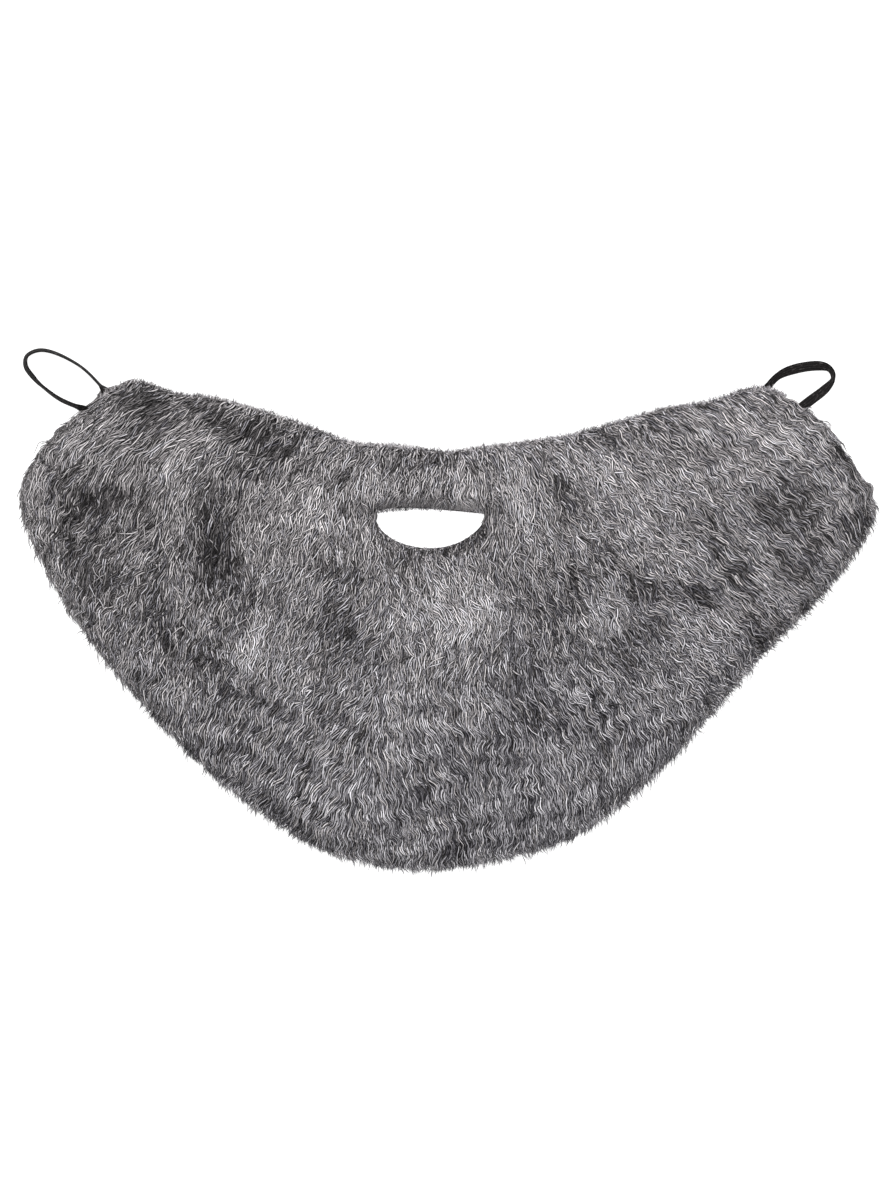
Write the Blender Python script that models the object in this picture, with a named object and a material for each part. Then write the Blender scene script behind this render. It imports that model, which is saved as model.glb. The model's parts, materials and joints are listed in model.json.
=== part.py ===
"""A false beard of crimped fur cloth with two elastic ear loops, lying face up on its backing.

X runs to the right across the face side, Y runs from the chin up to the moustache, and Z is up, out of the
pile. Sizes are in metres. The origin is the middle of the underside of the whole thing.
"""

import math
import random
from typing import NamedTuple

import bmesh
import bpy
import numpy as np
from mathutils import Vector
from mathutils.geometry import delaunay_2d_cdt

# Fur cloth: the knitted backing and the pile that stands on it
PANEL_WIDTH = 0.428
PANEL_HEIGHT = 0.2445
BACKING_THICKNESS = 0.0015
CUT_PILE = 0.0012
PILE_HEIGHT = 0.0120
VALLEY_HEIGHT = 0.0060

# How far in from an edge the pile is at its full height: where it is rooted, and where it hangs over
ROOT_FALL = 0.0150
TIP_FALL = 0.0120
LOWER_LIP_FALL = 0.0100
UPPER_LIP_FALL = 0.0050

# Mouth slot: a half moon, with its corners at the ends of MOUTH_WIDTH
MOUTH_WIDTH = 0.0555
MOUTH_RISE = 0.0020
MOUTH_DROP = 0.0170
MOUTH_ACROSS_SHARE = -0.0205
MOUTH_UP_SHARE = 0.7300
MOUTH_STEPS = 12

# Locks of the pile
LOCK_WIDTH = 0.0132
LOCK_LENGTH = 0.0280
LOCK_STEP = 0.0170
LOCK_SPREAD = 1.20
LOCK_SWAY = 0.0016
TIP_REACH = 0.0042
CREST_SHARE = 0.70
ROOT_RISE_SHARE = 0.35
TIP_TAPER_SHARE = 0.92
ROOT_OVERLAP_SHARE = 0.25
POINT_GAP = 0.0019
MERGE_DISTANCE = 1e-6
PILE_SEED = 11

# How much the locks differ: the shares of their full sizes between which each one is drawn
REACH_RANGE = (0.60, 1.20)
LENGTH_RANGE = (0.85, 1.00)
SWAY_RANGE = (0.50, 1.00)
RISE_RANGE = (0.78, 1.00)

# How finely curves are measured
SAMPLES_PER_SECTION = 30
SAMPLES_PER_FLOW_LINE = 200
SAMPLES_PER_STATION = 20
TANGENT_STEP = 0.05

# Shading: edges that turn by more than this stay sharp, in degrees
SHARP_ANGLE = 50
FLAT_ANGLE = 1

# Elastic ear loops
ELASTIC_WIDTH = 0.0050
ELASTIC_THICKNESS = 0.0010
LOOP_REACH = 0.0400
TAIL_LENGTH = 0.0120
POCKET_RUN = 0.0060
CLEARANCE = 0.0003
BAND_STEP = 0.0022


class Section(NamedTuple):
    """A flow line of the pile, from the cut top edge down to the tips of the hair.

    Across is a share of PANEL_WIDTH from the middle, and up a share of PANEL_HEIGHT from the chin.
    """

    top_across: float
    top_up: float
    tip_across: float
    tip_up: float


SECTIONS = (
    Section(-0.409, 0.967, -0.458, 0.902),
    Section(-0.367, 1.000, -0.497, 0.804),
    Section(-0.319, 0.975, -0.495, 0.708),
    Section(-0.272, 0.965, -0.446, 0.538),
    Section(-0.217, 0.939, -0.370, 0.362),
    Section(-0.161, 0.906, -0.271, 0.186),
    Section(-0.115, 0.875, -0.173, 0.063),
    Section(-0.074, 0.869, -0.109, 0.018),
    Section(-0.039, 0.863, -0.044, 0.000),
    Section(-0.004, 0.855, 0.008, 0.004),
    Section(0.043, 0.865, 0.078, 0.027),
    Section(0.090, 0.875, 0.148, 0.068),
    Section(0.143, 0.890, 0.224, 0.162),
    Section(0.201, 0.918, 0.300, 0.301),
    Section(0.257, 0.945, 0.370, 0.442),
    Section(0.308, 0.959, 0.429, 0.544),
    Section(0.348, 0.982, 0.484, 0.667),
    Section(0.374, 0.984, 0.498, 0.759),
    Section(0.394, 0.969, 0.444, 0.912),
)


class Station(NamedTuple):
    """A point of an ear loop outside the cloth, in shares of LOOP_REACH from the panel's corner.

    Turn is how far the band has turned from flat, at 0 degrees, onto its edge, at 90.
    """

    across: float
    up: float
    turn: float


LEFT_ROUTE = (
    Station(0.10, 0.08, 0),
    Station(-0.16, 0.35, 70),
    Station(-0.39, 0.50, 85),
    Station(-0.61, 0.59, 90),
    Station(-0.77, 0.60, 90),
    Station(-0.90, 0.53, 90),
    Station(-0.91, 0.40, 90),
    Station(-0.82, 0.27, 85),
    Station(-0.70, 0.15, 80),
    Station(-0.48, -0.01, 55),
    Station(-0.20, -0.13, 0),
)
RIGHT_ROUTE = (
    Station(-0.25, 0.09, 0),
    Station(-0.08, 0.29, 8),
    Station(0.14, 0.40, 15),
    Station(0.40, 0.46, 40),
    Station(0.57, 0.40, 70),
    Station(0.61, 0.26, 70),
    Station(0.50, 0.11, 35),
    Station(0.32, -0.04, 10),
    Station(0.18, -0.15, 0),
)


class Lock(NamedTuple):
    """A tongue of combed pile, lying from its root to its tip."""

    root: Vector
    tip: Vector
    half_width: float
    rise: float


# A lock's tip on the outline: shares of the column's width, and of how far the tip stands out
TIP_SHAPE = ((0.22, 0.30), (0.50, 1.00), (0.78, 0.30), (1.00, -0.35))

# Where a lock's surface is sampled: shares of its length and of its half width
LOCK_SAMPLES = (
    (0.12, 0.0),
    (0.45, 0.0),
    (0.78, 0.0),
    (0.96, 0.0),
    (1.07, 0.0),
    (0.30, -0.90),
    (0.30, 0.90),
    (0.68, -0.75),
    (0.68, 0.75),
)


def spline(values, place):
    """The smooth curve through evenly spaced values, at a place counted in values."""
    last = len(values) - 1
    index = min(max(int(place), 0), last - 1)
    step = place - index
    before, start = values[max(index - 1, 0)], values[index]
    end, after = values[index + 1], values[min(index + 2, last)]
    near = (end - before) / 2
    far = (after - start) / 2
    bend = 3 * (end - start) - 2 * near - far
    twist = 2 * (start - end) + near + far
    return start + near * step + bend * step**2 + twist * step**3


def on_panel(across, up):
    """A place in the plane of the cloth, from shares of the panel."""
    return Vector((across * PANEL_WIDTH, up * PANEL_HEIGHT))


TOPS = [on_panel(section.top_across, section.top_up) for section in SECTIONS]
TIPS = [on_panel(section.tip_across, section.tip_up) for section in SECTIONS]


def flow_point(place, share):
    """A point on the flow line at a place along the sections, from its top at 0 to its tip at 1."""
    return spline(TOPS, place).lerp(spline(TIPS, place), share)


def column_places():
    """The places of the sides of each column of locks, spaced evenly halfway down the pile."""
    fine = np.linspace(0, len(SECTIONS) - 1, SAMPLES_PER_SECTION * len(SECTIONS))
    middles = [flow_point(place, 0.5) for place in fine]
    runs = [0.0]
    for before, after in zip(middles, middles[1:]):
        runs.append(runs[-1] + (after - before).length)
    count = round(runs[-1] / LOCK_WIDTH)
    return np.interp(np.linspace(0, runs[-1], count + 1), runs, fine)


class Edge:
    """A closed edge of the cloth, through its points in order, with the fall of the pile at each one."""

    def __init__(self, points, falls):
        self.points = points
        self.falls = np.array(falls)
        self.starts = np.array(points)
        self.ends = np.roll(self.starts, -1, axis=0)
        self.runs = self.ends - self.starts

    def holds(self, point):
        """Whether a point lies inside the edge."""
        crossed = (self.starts[:, 1] > point.y) != (self.ends[:, 1] > point.y)
        starts, runs = self.starts[crossed], self.runs[crossed]
        reach = starts[:, 0] + (point.y - starts[:, 1]) / runs[:, 1] * runs[:, 0]
        return int((point.x < reach).sum()) % 2 == 1

    def distances(self, point):
        """How far a point is from each stretch of the edge."""
        offset = np.array(point) - self.starts
        share = ((offset * self.runs).sum(1) / (self.runs**2).sum(1)).clip(0, 1)
        return np.hypot(*(offset - self.runs * share[:, None]).T)

    def depth(self, point):
        """How deep in the pile a point is, from 0 on the edge to 1 where the pile is full."""
        return min(1.0, float((self.distances(point) / self.falls).min()))

    def sides(self, first):
        """The pairs of point numbers that follow the edge, whose first point has the number given."""
        count = len(self.points)
        return [(first + step, first + (step + 1) % count) for step in range(count)]


def mouth_edge():
    """The edge of the mouth slot, along the upper lip and back along the lower one."""
    middle = on_panel(MOUTH_ACROSS_SHARE, MOUTH_UP_SHARE)
    points = []
    for step in range(2 * MOUTH_STEPS):
        angle = math.pi * step / MOUTH_STEPS
        bow = MOUTH_RISE if step < MOUTH_STEPS else MOUTH_DROP
        points.append(middle + Vector((-math.cos(angle) * MOUTH_WIDTH / 2, math.sin(angle) * bow)))
    return Edge(points, [UPPER_LIP_FALL] * MOUTH_STEPS + [LOWER_LIP_FALL] * MOUTH_STEPS)


def outer_edge(places):
    """The cut top edge from left to right, then the tips of the locks back to the left."""
    top = []
    for near, far in zip(places, places[1:]):
        top += [flow_point(near, 0), flow_point((near + far) / 2, 0)]
    top.append(flow_point(places[-1], 0))
    dice = random.Random(PILE_SEED)
    tips = [flow_point(places[-1], 1)]
    for far, near in zip(places[::-1], places[-2::-1]):
        reach = TIP_REACH * dice.uniform(*REACH_RANGE)
        for share, point in TIP_SHAPE:
            place = far + (near - far) * share
            tip = flow_point(place, 1)
            along = (tip - flow_point(place, 0)).normalized()
            # The first and last flow lines run along the panel's ends, where no tip stands out
            tips.append(tip + along * reach * point * min(place, len(SECTIONS) - 1 - place, 1))
    return Edge(top + tips, [ROOT_FALL] * len(top) + [TIP_FALL] * len(tips))


def spans_of(place, mouth):
    """The stretches of a flow line that carry pile, which stops at the mouth slot."""
    shares = np.linspace(0, 1, SAMPLES_PER_FLOW_LINE)
    gap = [share for share in shares if mouth.holds(flow_point(place, share))]
    if not gap:
        return [(0.0, 1.0)]
    return [(0.0, gap[0]), (gap[-1], 1.0)]


def lay_locks(places, mouth):
    """All locks, in columns down the flow lines, with each column half a step from its neighbours."""
    dice = random.Random(PILE_SEED)
    locks = []
    for column, (near, far) in enumerate(zip(places, places[1:])):
        place = (near + far) / 2
        for start, end in spans_of(place, mouth):
            run = (flow_point(place, end) - flow_point(place, start)).length
            count = max(1, round(run / LOCK_STEP))
            tips = [(step + 1) / count for step in range(count)]
            if column % 2:
                tips = [(step + 0.5) / count for step in range(count)] + [1.0]
            for row, tip_share in enumerate(tips):
                share = start + (end - start) * tip_share
                tip = flow_point(place, share)
                down = (flow_point(place, 1) - flow_point(place, 0)).normalized()
                side = Vector((-down.y, down.x))
                fit = run * tip_share + LOCK_STEP * ROOT_OVERLAP_SHARE
                length = min(LOCK_LENGTH, fit) * dice.uniform(*LENGTH_RANGE)
                sway = LOCK_SWAY * (1 if row % 2 else -1) * dice.uniform(*SWAY_RANGE)
                width = (flow_point(near, share) - flow_point(far, share)).length
                locks.append(
                    Lock(
                        tip - down * length - side * sway,
                        tip + side * sway * (tip_share < 1),
                        width * LOCK_SPREAD / 2,
                        dice.uniform(*RISE_RANGE),
                    )
                )
    return locks


class Pile:
    """The pile over the whole cloth, as the fullest of its locks at each point."""

    def __init__(self, locks, outline, mouth):
        self.locks = locks
        self.outline = outline
        self.mouth = mouth
        self.roots = np.array([lock.root for lock in locks])
        runs = np.array([lock.tip for lock in locks]) - self.roots
        self.lengths = np.hypot(*runs.T)
        self.downs = runs / self.lengths[:, None]
        self.widths = np.array([lock.half_width for lock in locks])
        self.rises = np.array([lock.rise for lock in locks])

    def rise(self, point):
        """How far the fullest lock rises at a point, from 0 between locks to 1 on a crest."""
        offset = np.array(point) - self.roots
        along = (offset * self.downs).sum(1) / self.lengths
        across = offset[:, 1] * self.downs[:, 0] - offset[:, 0] * self.downs[:, 1]
        held = (along >= 0) & (along <= 1)
        along = along.clip(0, 1)
        taper = np.sqrt(1 - TIP_TAPER_SHARE * along**3)
        across = (across / (self.widths * taper)).clip(-1, 1)
        body = ROOT_RISE_SHARE + (1 - ROOT_RISE_SHARE) * np.sin(np.pi / 2 * (along / CREST_SHARE).clip(0, 1))
        return float((body * np.sqrt(1 - across**2) * self.rises * held).max())

    def height(self, point):
        """How high the pile stands over the floor at a point."""
        depth = min(self.outline.depth(point), self.mouth.depth(point))
        full = VALLEY_HEIGHT + (PILE_HEIGHT - VALLEY_HEIGHT) * self.rise(point)
        return BACKING_THICKNESS + CUT_PILE + (full - CUT_PILE) * math.sin(math.pi / 2 * depth)

    def samples(self):
        """The points where the surface is sampled, none closer than POINT_GAP to another."""
        kept = []
        for lock in self.locks:
            run = lock.tip - lock.root
            side = Vector((-run.y, run.x)).normalized() * lock.half_width
            for along, across in LOCK_SAMPLES:
                point = lock.root + run * along + side * across
                if not self.outline.holds(point) or self.mouth.holds(point):
                    continue
                if min(*self.outline.distances(point), *self.mouth.distances(point)) < POINT_GAP:
                    continue
                if not kept or np.hypot(*(np.array(kept) - point).T).min() > POINT_GAP:
                    kept.append(point[:])
        return [Vector(point) for point in kept]


def finish_object(name, bm, material):
    """Turns a bmesh into a named object with its material, shaded smooth but for its sharp edges."""
    bmesh.ops.recalc_face_normals(bm, faces=bm.faces)
    mesh = bpy.data.meshes.new(name)
    bm.to_mesh(mesh)
    bm.free()
    mesh.shade_smooth()
    mesh.set_sharp_from_angle(angle=math.radians(SHARP_ANGLE))
    mesh.materials.append(material)
    piece = bpy.data.objects.new(name, mesh)
    bpy.context.scene.collection.objects.link(piece)
    return piece


def fur_panel(material):
    """The cloth with its pile: a flat underside, and locks that rise over each other on top."""
    places = column_places()
    mouth = mouth_edge()
    outline = outer_edge(places)
    pile = Pile(lay_locks(places, mouth), outline, mouth)
    points = outline.points + mouth.points + pile.samples()
    edges = outline.sides(0) + mouth.sides(len(outline.points))
    flat, _, triangles, *_ = delaunay_2d_cdt(points, edges, [], 1, MERGE_DISTANCE)
    bm = bmesh.new()
    top = [bm.verts.new((*point, pile.height(point))) for point in flat]
    for triangle in triangles:
        middle = sum((flat[index] for index in triangle), Vector((0, 0))) / 3
        if not mouth.holds(middle):
            bm.faces.new([top[index] for index in triangle])
    lowered = bmesh.ops.extrude_face_region(bm, geom=bm.faces[:])["geom"]
    for vert in (item for item in lowered if isinstance(item, bmesh.types.BMVert)):
        vert.co.z = 0
    bmesh.ops.recalc_face_normals(bm, faces=bm.faces)
    under = [face for face in bm.faces if all(vert.co.z == 0 for vert in face.verts)]
    bmesh.ops.dissolve_limit(
        bm,
        angle_limit=math.radians(FLAT_ANGLE),
        verts=list({vert for face in under for vert in face.verts}),
        edges=list({edge for face in under for edge in face.edges}),
    )
    under = [face for face in bm.faces if all(vert.co.z == 0 for vert in face.verts)]
    bmesh.ops.triangulate(bm, faces=under)
    return finish_object("fur_panel", bm, material)


class Band(NamedTuple):
    """The centre line of an ear loop with its two tails: the points, and the turn at each one."""

    points: list
    turns: list

    @property
    def last(self):
        """The number of the last point."""
        return len(self.points) - 1


def lay_band(route, corner):
    """The centre line of an ear loop, with a straight tail under the cloth at either end."""
    points = [corner + Vector((row.across, row.up)) * LOOP_REACH for row in route]
    tails = []
    for end, beside in ((points[0], points[1]), (points[-1], points[-2])):
        inward = (end - beside).normalized() * TAIL_LENGTH
        tails.append((end + inward, end + inward / 2))
    turns = [0, 0, *(math.radians(row.turn) for row in route), 0, 0]
    return Band([*tails[0], *points, *reversed(tails[1])], turns)


def band_rings(band, places):
    """The four corners of the elastic at each place, with its lowest corner on the floor."""
    rings = []
    for place in places:
        ahead = spline(band.points, min(place + TANGENT_STEP, band.last))
        behind = spline(band.points, max(place - TANGENT_STEP, 0))
        along = (ahead - behind).normalized()
        turn = float(np.interp(place, range(band.last + 1), band.turns))
        side = Vector((-along.y, along.x, 0))
        up = Vector((0, 0, 1))
        wide = (side * math.cos(turn) + up * math.sin(turn)) * ELASTIC_WIDTH / 2
        thick = (up * math.cos(turn) - side * math.sin(turn)) * ELASTIC_THICKNESS / 2
        middle = spline(band.points, place).to_3d() + up * (abs(wide.z) + abs(thick.z))
        rings.append([middle + wide * x + thick * y for x, y in ((1, 1), (-1, 1), (-1, -1), (1, -1))])
    return rings


def band_mesh(rings):
    """A closed bar through rings of four corners."""
    bm = bmesh.new()
    loops = [[bm.verts.new(corner) for corner in ring] for ring in rings]
    for near, far in zip(loops, loops[1:]):
        for side in range(4):
            after = (side + 1) % 4
            bm.faces.new((near[side], near[after], far[after], far[side]))
    bm.faces.new(loops[0])
    bm.faces.new(loops[-1])
    return bm


def even_places(band):
    """Places about BAND_STEP apart along the whole centre line."""
    fine = np.linspace(0, band.last, SAMPLES_PER_STATION * band.last)
    points = [spline(band.points, place) for place in fine]
    runs = [0.0]
    for before, after in zip(points, points[1:]):
        runs.append(runs[-1] + (after - before).length)
    return np.interp(np.linspace(0, runs[-1], round(runs[-1] / BAND_STEP) + 1), runs, fine)


def ear_loop(name, band, material):
    """A loop of flat elastic, resting on whichever side is down."""
    return finish_object(name, band_mesh(band_rings(band, even_places(band))), material)


def cut_pockets(panel, name, band):
    """Makes room under the cloth for the two sewn tails of an ear loop, as straight slots to its edge."""
    ends = ((band.points[2], band.points[0]), (band.points[-3], band.points[-1]))
    for number, (entry, inner) in enumerate(ends):
        out = (entry - inner).normalized().to_3d()
        side = Vector((-out.y, out.x, 0)) * (ELASTIC_WIDTH / 2 + CLEARANCE)
        roof = Vector((0, 0, ELASTIC_THICKNESS + CLEARANCE))
        rings = []
        for place in (inner.to_3d() - out * CLEARANCE, entry.to_3d() + out * POCKET_RUN):
            rings.append([place + side + roof, place - side + roof, place - side - roof, place + side - roof])
        cutter = finish_object(f"{name}_cutter_{number}", band_mesh(rings), panel.active_material)
        cutter.hide_render = True
        cutter.display_type = "WIRE"
        pocket = panel.modifiers.new(cutter.name, "BOOLEAN")
        pocket.operation = "DIFFERENCE"
        pocket.object = cutter


def plain_material(name, colour, roughness):
    """A soft, dull surface of one colour."""
    material = bpy.data.materials.new(name)
    material.use_nodes = True
    shader = material.node_tree.nodes["Principled BSDF"]
    shader.inputs["Base Color"].default_value = (*colour, 1)
    shader.inputs["Roughness"].default_value = roughness
    shader.inputs["Metallic"].default_value = 0
    return material


def clear_scene():
    """Removes every object that the scene holds."""
    for item in list(bpy.data.objects):
        bpy.data.objects.remove(item, do_unlink=True)


def centre_pieces(pieces):
    """Hangs the pieces on one empty that puts the middle of their box at the origin."""
    corners = [vert.co for piece in pieces for vert in piece.data.vertices]
    frame = bpy.data.objects.new("beard_frame", None)
    bpy.context.scene.collection.objects.link(frame)
    for axis in (0, 1):
        values = [corner[axis] for corner in corners]
        frame.location[axis] = -(min(values) + max(values)) / 2
    for item in bpy.data.objects:
        if item != frame:
            item.parent = frame


def main():
    """Builds the beard."""
    clear_scene()
    fur = plain_material("grey_fur", (0.17, 0.17, 0.18), 0.75)
    elastic = plain_material("black_elastic", (0.015, 0.015, 0.017), 0.6)
    panel = fur_panel(fur)
    loops = []
    for name, route, corner in (
        ("ear_loop_left", LEFT_ROUTE, TOPS[0]),
        ("ear_loop_right", RIGHT_ROUTE, TOPS[-1]),
    ):
        band = lay_band(route, corner)
        loops.append(ear_loop(name, band, elastic))
        cut_pockets(panel, name, band)
    centre_pieces([panel, *loops])


main()
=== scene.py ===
"""The looks of a false beard: crimped salt-and-pepper fur cloth on a knitted backing, with two ear loops.

It lies face up on a pale floor. X runs to the right across the face side, Y up from the chin to the moustache
and Z up out of the pile, in metres. Every fibre is a flat strand, shaded from one chart of fibres.
"""

import json
import logging
import math
from dataclasses import dataclass, field
from enum import Enum

import bmesh
import bpy
import numpy as np
from mathutils import Matrix, Vector
from mathutils.bvhtree import BVHTree
from mathutils.geometry import delaunay_2d_cdt
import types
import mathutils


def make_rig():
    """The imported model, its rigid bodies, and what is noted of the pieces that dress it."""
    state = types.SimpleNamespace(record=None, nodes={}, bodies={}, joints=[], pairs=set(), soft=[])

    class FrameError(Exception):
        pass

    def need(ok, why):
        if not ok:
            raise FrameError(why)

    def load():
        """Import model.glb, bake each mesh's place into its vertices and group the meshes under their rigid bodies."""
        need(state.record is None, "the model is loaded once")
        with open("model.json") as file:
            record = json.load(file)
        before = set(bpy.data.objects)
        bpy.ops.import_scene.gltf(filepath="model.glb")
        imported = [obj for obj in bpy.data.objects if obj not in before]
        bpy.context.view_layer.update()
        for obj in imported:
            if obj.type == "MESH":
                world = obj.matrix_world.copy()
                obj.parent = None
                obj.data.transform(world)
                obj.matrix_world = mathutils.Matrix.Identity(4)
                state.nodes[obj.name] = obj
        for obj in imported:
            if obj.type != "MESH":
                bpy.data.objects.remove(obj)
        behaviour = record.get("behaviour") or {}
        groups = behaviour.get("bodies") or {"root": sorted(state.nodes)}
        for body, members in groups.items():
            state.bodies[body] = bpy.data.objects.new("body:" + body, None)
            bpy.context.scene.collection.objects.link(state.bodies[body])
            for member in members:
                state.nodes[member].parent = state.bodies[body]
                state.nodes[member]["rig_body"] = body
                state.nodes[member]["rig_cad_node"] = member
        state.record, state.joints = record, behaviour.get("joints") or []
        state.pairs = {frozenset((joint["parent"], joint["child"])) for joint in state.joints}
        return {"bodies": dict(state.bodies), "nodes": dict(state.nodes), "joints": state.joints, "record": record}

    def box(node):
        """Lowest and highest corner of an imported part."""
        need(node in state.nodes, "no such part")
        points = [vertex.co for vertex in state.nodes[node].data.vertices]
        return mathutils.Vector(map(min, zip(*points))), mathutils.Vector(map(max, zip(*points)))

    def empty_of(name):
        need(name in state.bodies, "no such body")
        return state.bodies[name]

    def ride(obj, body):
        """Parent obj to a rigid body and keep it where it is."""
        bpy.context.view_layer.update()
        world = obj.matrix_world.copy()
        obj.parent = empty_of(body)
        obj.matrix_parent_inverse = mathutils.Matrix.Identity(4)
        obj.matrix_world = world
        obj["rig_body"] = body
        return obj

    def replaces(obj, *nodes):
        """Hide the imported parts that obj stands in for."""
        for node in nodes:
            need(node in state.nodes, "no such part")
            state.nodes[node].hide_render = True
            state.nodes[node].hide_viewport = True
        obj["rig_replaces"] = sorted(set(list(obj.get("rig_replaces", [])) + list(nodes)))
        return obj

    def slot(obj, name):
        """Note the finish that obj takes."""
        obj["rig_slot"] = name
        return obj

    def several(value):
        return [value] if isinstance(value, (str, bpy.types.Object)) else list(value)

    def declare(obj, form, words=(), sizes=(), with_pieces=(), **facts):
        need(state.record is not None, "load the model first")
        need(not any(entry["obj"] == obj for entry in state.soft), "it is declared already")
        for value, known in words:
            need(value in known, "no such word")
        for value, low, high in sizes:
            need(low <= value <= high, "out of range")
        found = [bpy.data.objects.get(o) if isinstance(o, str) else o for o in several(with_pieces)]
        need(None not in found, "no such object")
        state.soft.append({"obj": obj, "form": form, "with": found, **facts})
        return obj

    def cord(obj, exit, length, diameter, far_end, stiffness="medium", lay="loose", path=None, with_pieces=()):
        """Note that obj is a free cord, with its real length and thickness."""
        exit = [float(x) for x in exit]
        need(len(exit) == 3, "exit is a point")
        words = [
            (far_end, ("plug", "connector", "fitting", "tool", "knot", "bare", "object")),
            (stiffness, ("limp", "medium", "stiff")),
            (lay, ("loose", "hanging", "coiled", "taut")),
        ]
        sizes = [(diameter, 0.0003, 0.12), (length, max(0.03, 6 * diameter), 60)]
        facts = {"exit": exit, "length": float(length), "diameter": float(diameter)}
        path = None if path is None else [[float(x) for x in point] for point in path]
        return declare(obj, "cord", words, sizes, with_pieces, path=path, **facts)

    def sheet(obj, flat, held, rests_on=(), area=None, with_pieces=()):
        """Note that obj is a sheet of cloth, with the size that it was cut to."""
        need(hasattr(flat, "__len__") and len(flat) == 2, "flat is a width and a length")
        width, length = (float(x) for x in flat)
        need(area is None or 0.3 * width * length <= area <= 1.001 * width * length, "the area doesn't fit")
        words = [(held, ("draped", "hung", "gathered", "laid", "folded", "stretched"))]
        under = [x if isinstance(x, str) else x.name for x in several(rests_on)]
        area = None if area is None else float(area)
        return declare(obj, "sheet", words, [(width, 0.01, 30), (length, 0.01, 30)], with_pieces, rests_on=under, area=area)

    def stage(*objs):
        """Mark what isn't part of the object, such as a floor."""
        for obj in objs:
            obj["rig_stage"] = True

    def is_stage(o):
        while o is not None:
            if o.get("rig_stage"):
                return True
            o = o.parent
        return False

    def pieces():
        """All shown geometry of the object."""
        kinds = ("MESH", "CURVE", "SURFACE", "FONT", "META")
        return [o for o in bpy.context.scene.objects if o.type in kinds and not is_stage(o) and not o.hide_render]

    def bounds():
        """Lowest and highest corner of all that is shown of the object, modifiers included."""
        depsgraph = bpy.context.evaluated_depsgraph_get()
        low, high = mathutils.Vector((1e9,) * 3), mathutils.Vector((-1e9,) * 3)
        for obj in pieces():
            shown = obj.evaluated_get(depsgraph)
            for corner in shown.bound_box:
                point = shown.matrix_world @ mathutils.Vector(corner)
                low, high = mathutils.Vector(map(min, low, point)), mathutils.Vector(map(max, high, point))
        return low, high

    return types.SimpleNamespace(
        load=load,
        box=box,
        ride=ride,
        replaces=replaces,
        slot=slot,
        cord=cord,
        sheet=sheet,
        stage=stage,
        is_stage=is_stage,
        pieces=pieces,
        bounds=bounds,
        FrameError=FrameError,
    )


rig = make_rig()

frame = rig.load()
cad_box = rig.bounds()

log = logging.getLogger("beard")

MM = 0.001
SHADE_MAP = "OFBake"
BAND_MAP = "band"
SIZE_FILE = "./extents.json"
FUR_SLOT = "grey_fur"
ELASTIC_SLOT = "black_elastic"
SEED = 20
SHARP_ANGLE = 50
MERGE_DISTANCE = 1e-7
TINY = 1e-9


class Dye(Enum):
    """The two rows of the fibre chart."""

    WARM = 0
    COOL = 1


class Part(Enum):
    """The parts of the pile, with the flow lines that each one lies between."""

    LEFT_WING = (-9.0, 4.1)
    LEFT_CHEEK = (4.1, 6.2)
    LEFT_CHIN = (6.2, 9.0)
    RIGHT_CHIN = (9.0, 11.5)
    RIGHT_CHEEK = (11.5, 14.0)
    RIGHT_WING = (14.0, 99.0)


class Side(Enum):
    """The two ends of the beard."""

    LEFT = "left"
    RIGHT = "right"


def spline(values: np.ndarray, place: np.ndarray) -> np.ndarray:
    """The smooth curve through evenly spaced values.

    Args:
        values: The values, one to a row.
        place: Places along them, counted in values.

    Returns:
        A row for each place.
    """
    last = len(values) - 1
    index = np.clip(place.astype(int), 0, last - 1)
    step = (place - index)[..., None]
    start, end = values[index], values[index + 1]
    near = (end - values[np.maximum(index - 1, 0)]) / 2
    far = (values[np.minimum(index + 2, last)] - start) / 2
    bend = 3 * (end - start) - 2 * near - far
    twist = 2 * (start - end) + near + far
    return start + near * step + bend * step**2 + twist * step**3


def turned(angles: np.ndarray) -> np.ndarray:
    """The unit vectors in the plane at angles in radians."""
    return np.stack([np.cos(angles), np.sin(angles)], -1)


def smooth(values: np.ndarray, low: float, high: float) -> np.ndarray:
    """An even rise from 0 at low to 1 at high."""
    share = np.clip((values - low) / (high - low), 0, 1)
    return share * share * (3 - 2 * share)


def grid_over(outline: np.ndarray, margin: float, step: float) -> tuple[np.ndarray, np.ndarray]:
    """An even grid of points over an outline.

    Args:
        outline: The outline's points.
        margin: How far past it the grid reaches.
        step: How far apart the grid's points are.

    Returns:
        The grid's lowest corner, and its points.
    """
    low = outline.min(0) - margin
    counts = np.ceil((outline.max(0) + margin - low) / step).astype(int)
    steps = np.meshgrid(*(np.arange(count) for count in counts), indexing="ij")
    return low, low + np.stack(steps, -1) * step


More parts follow.
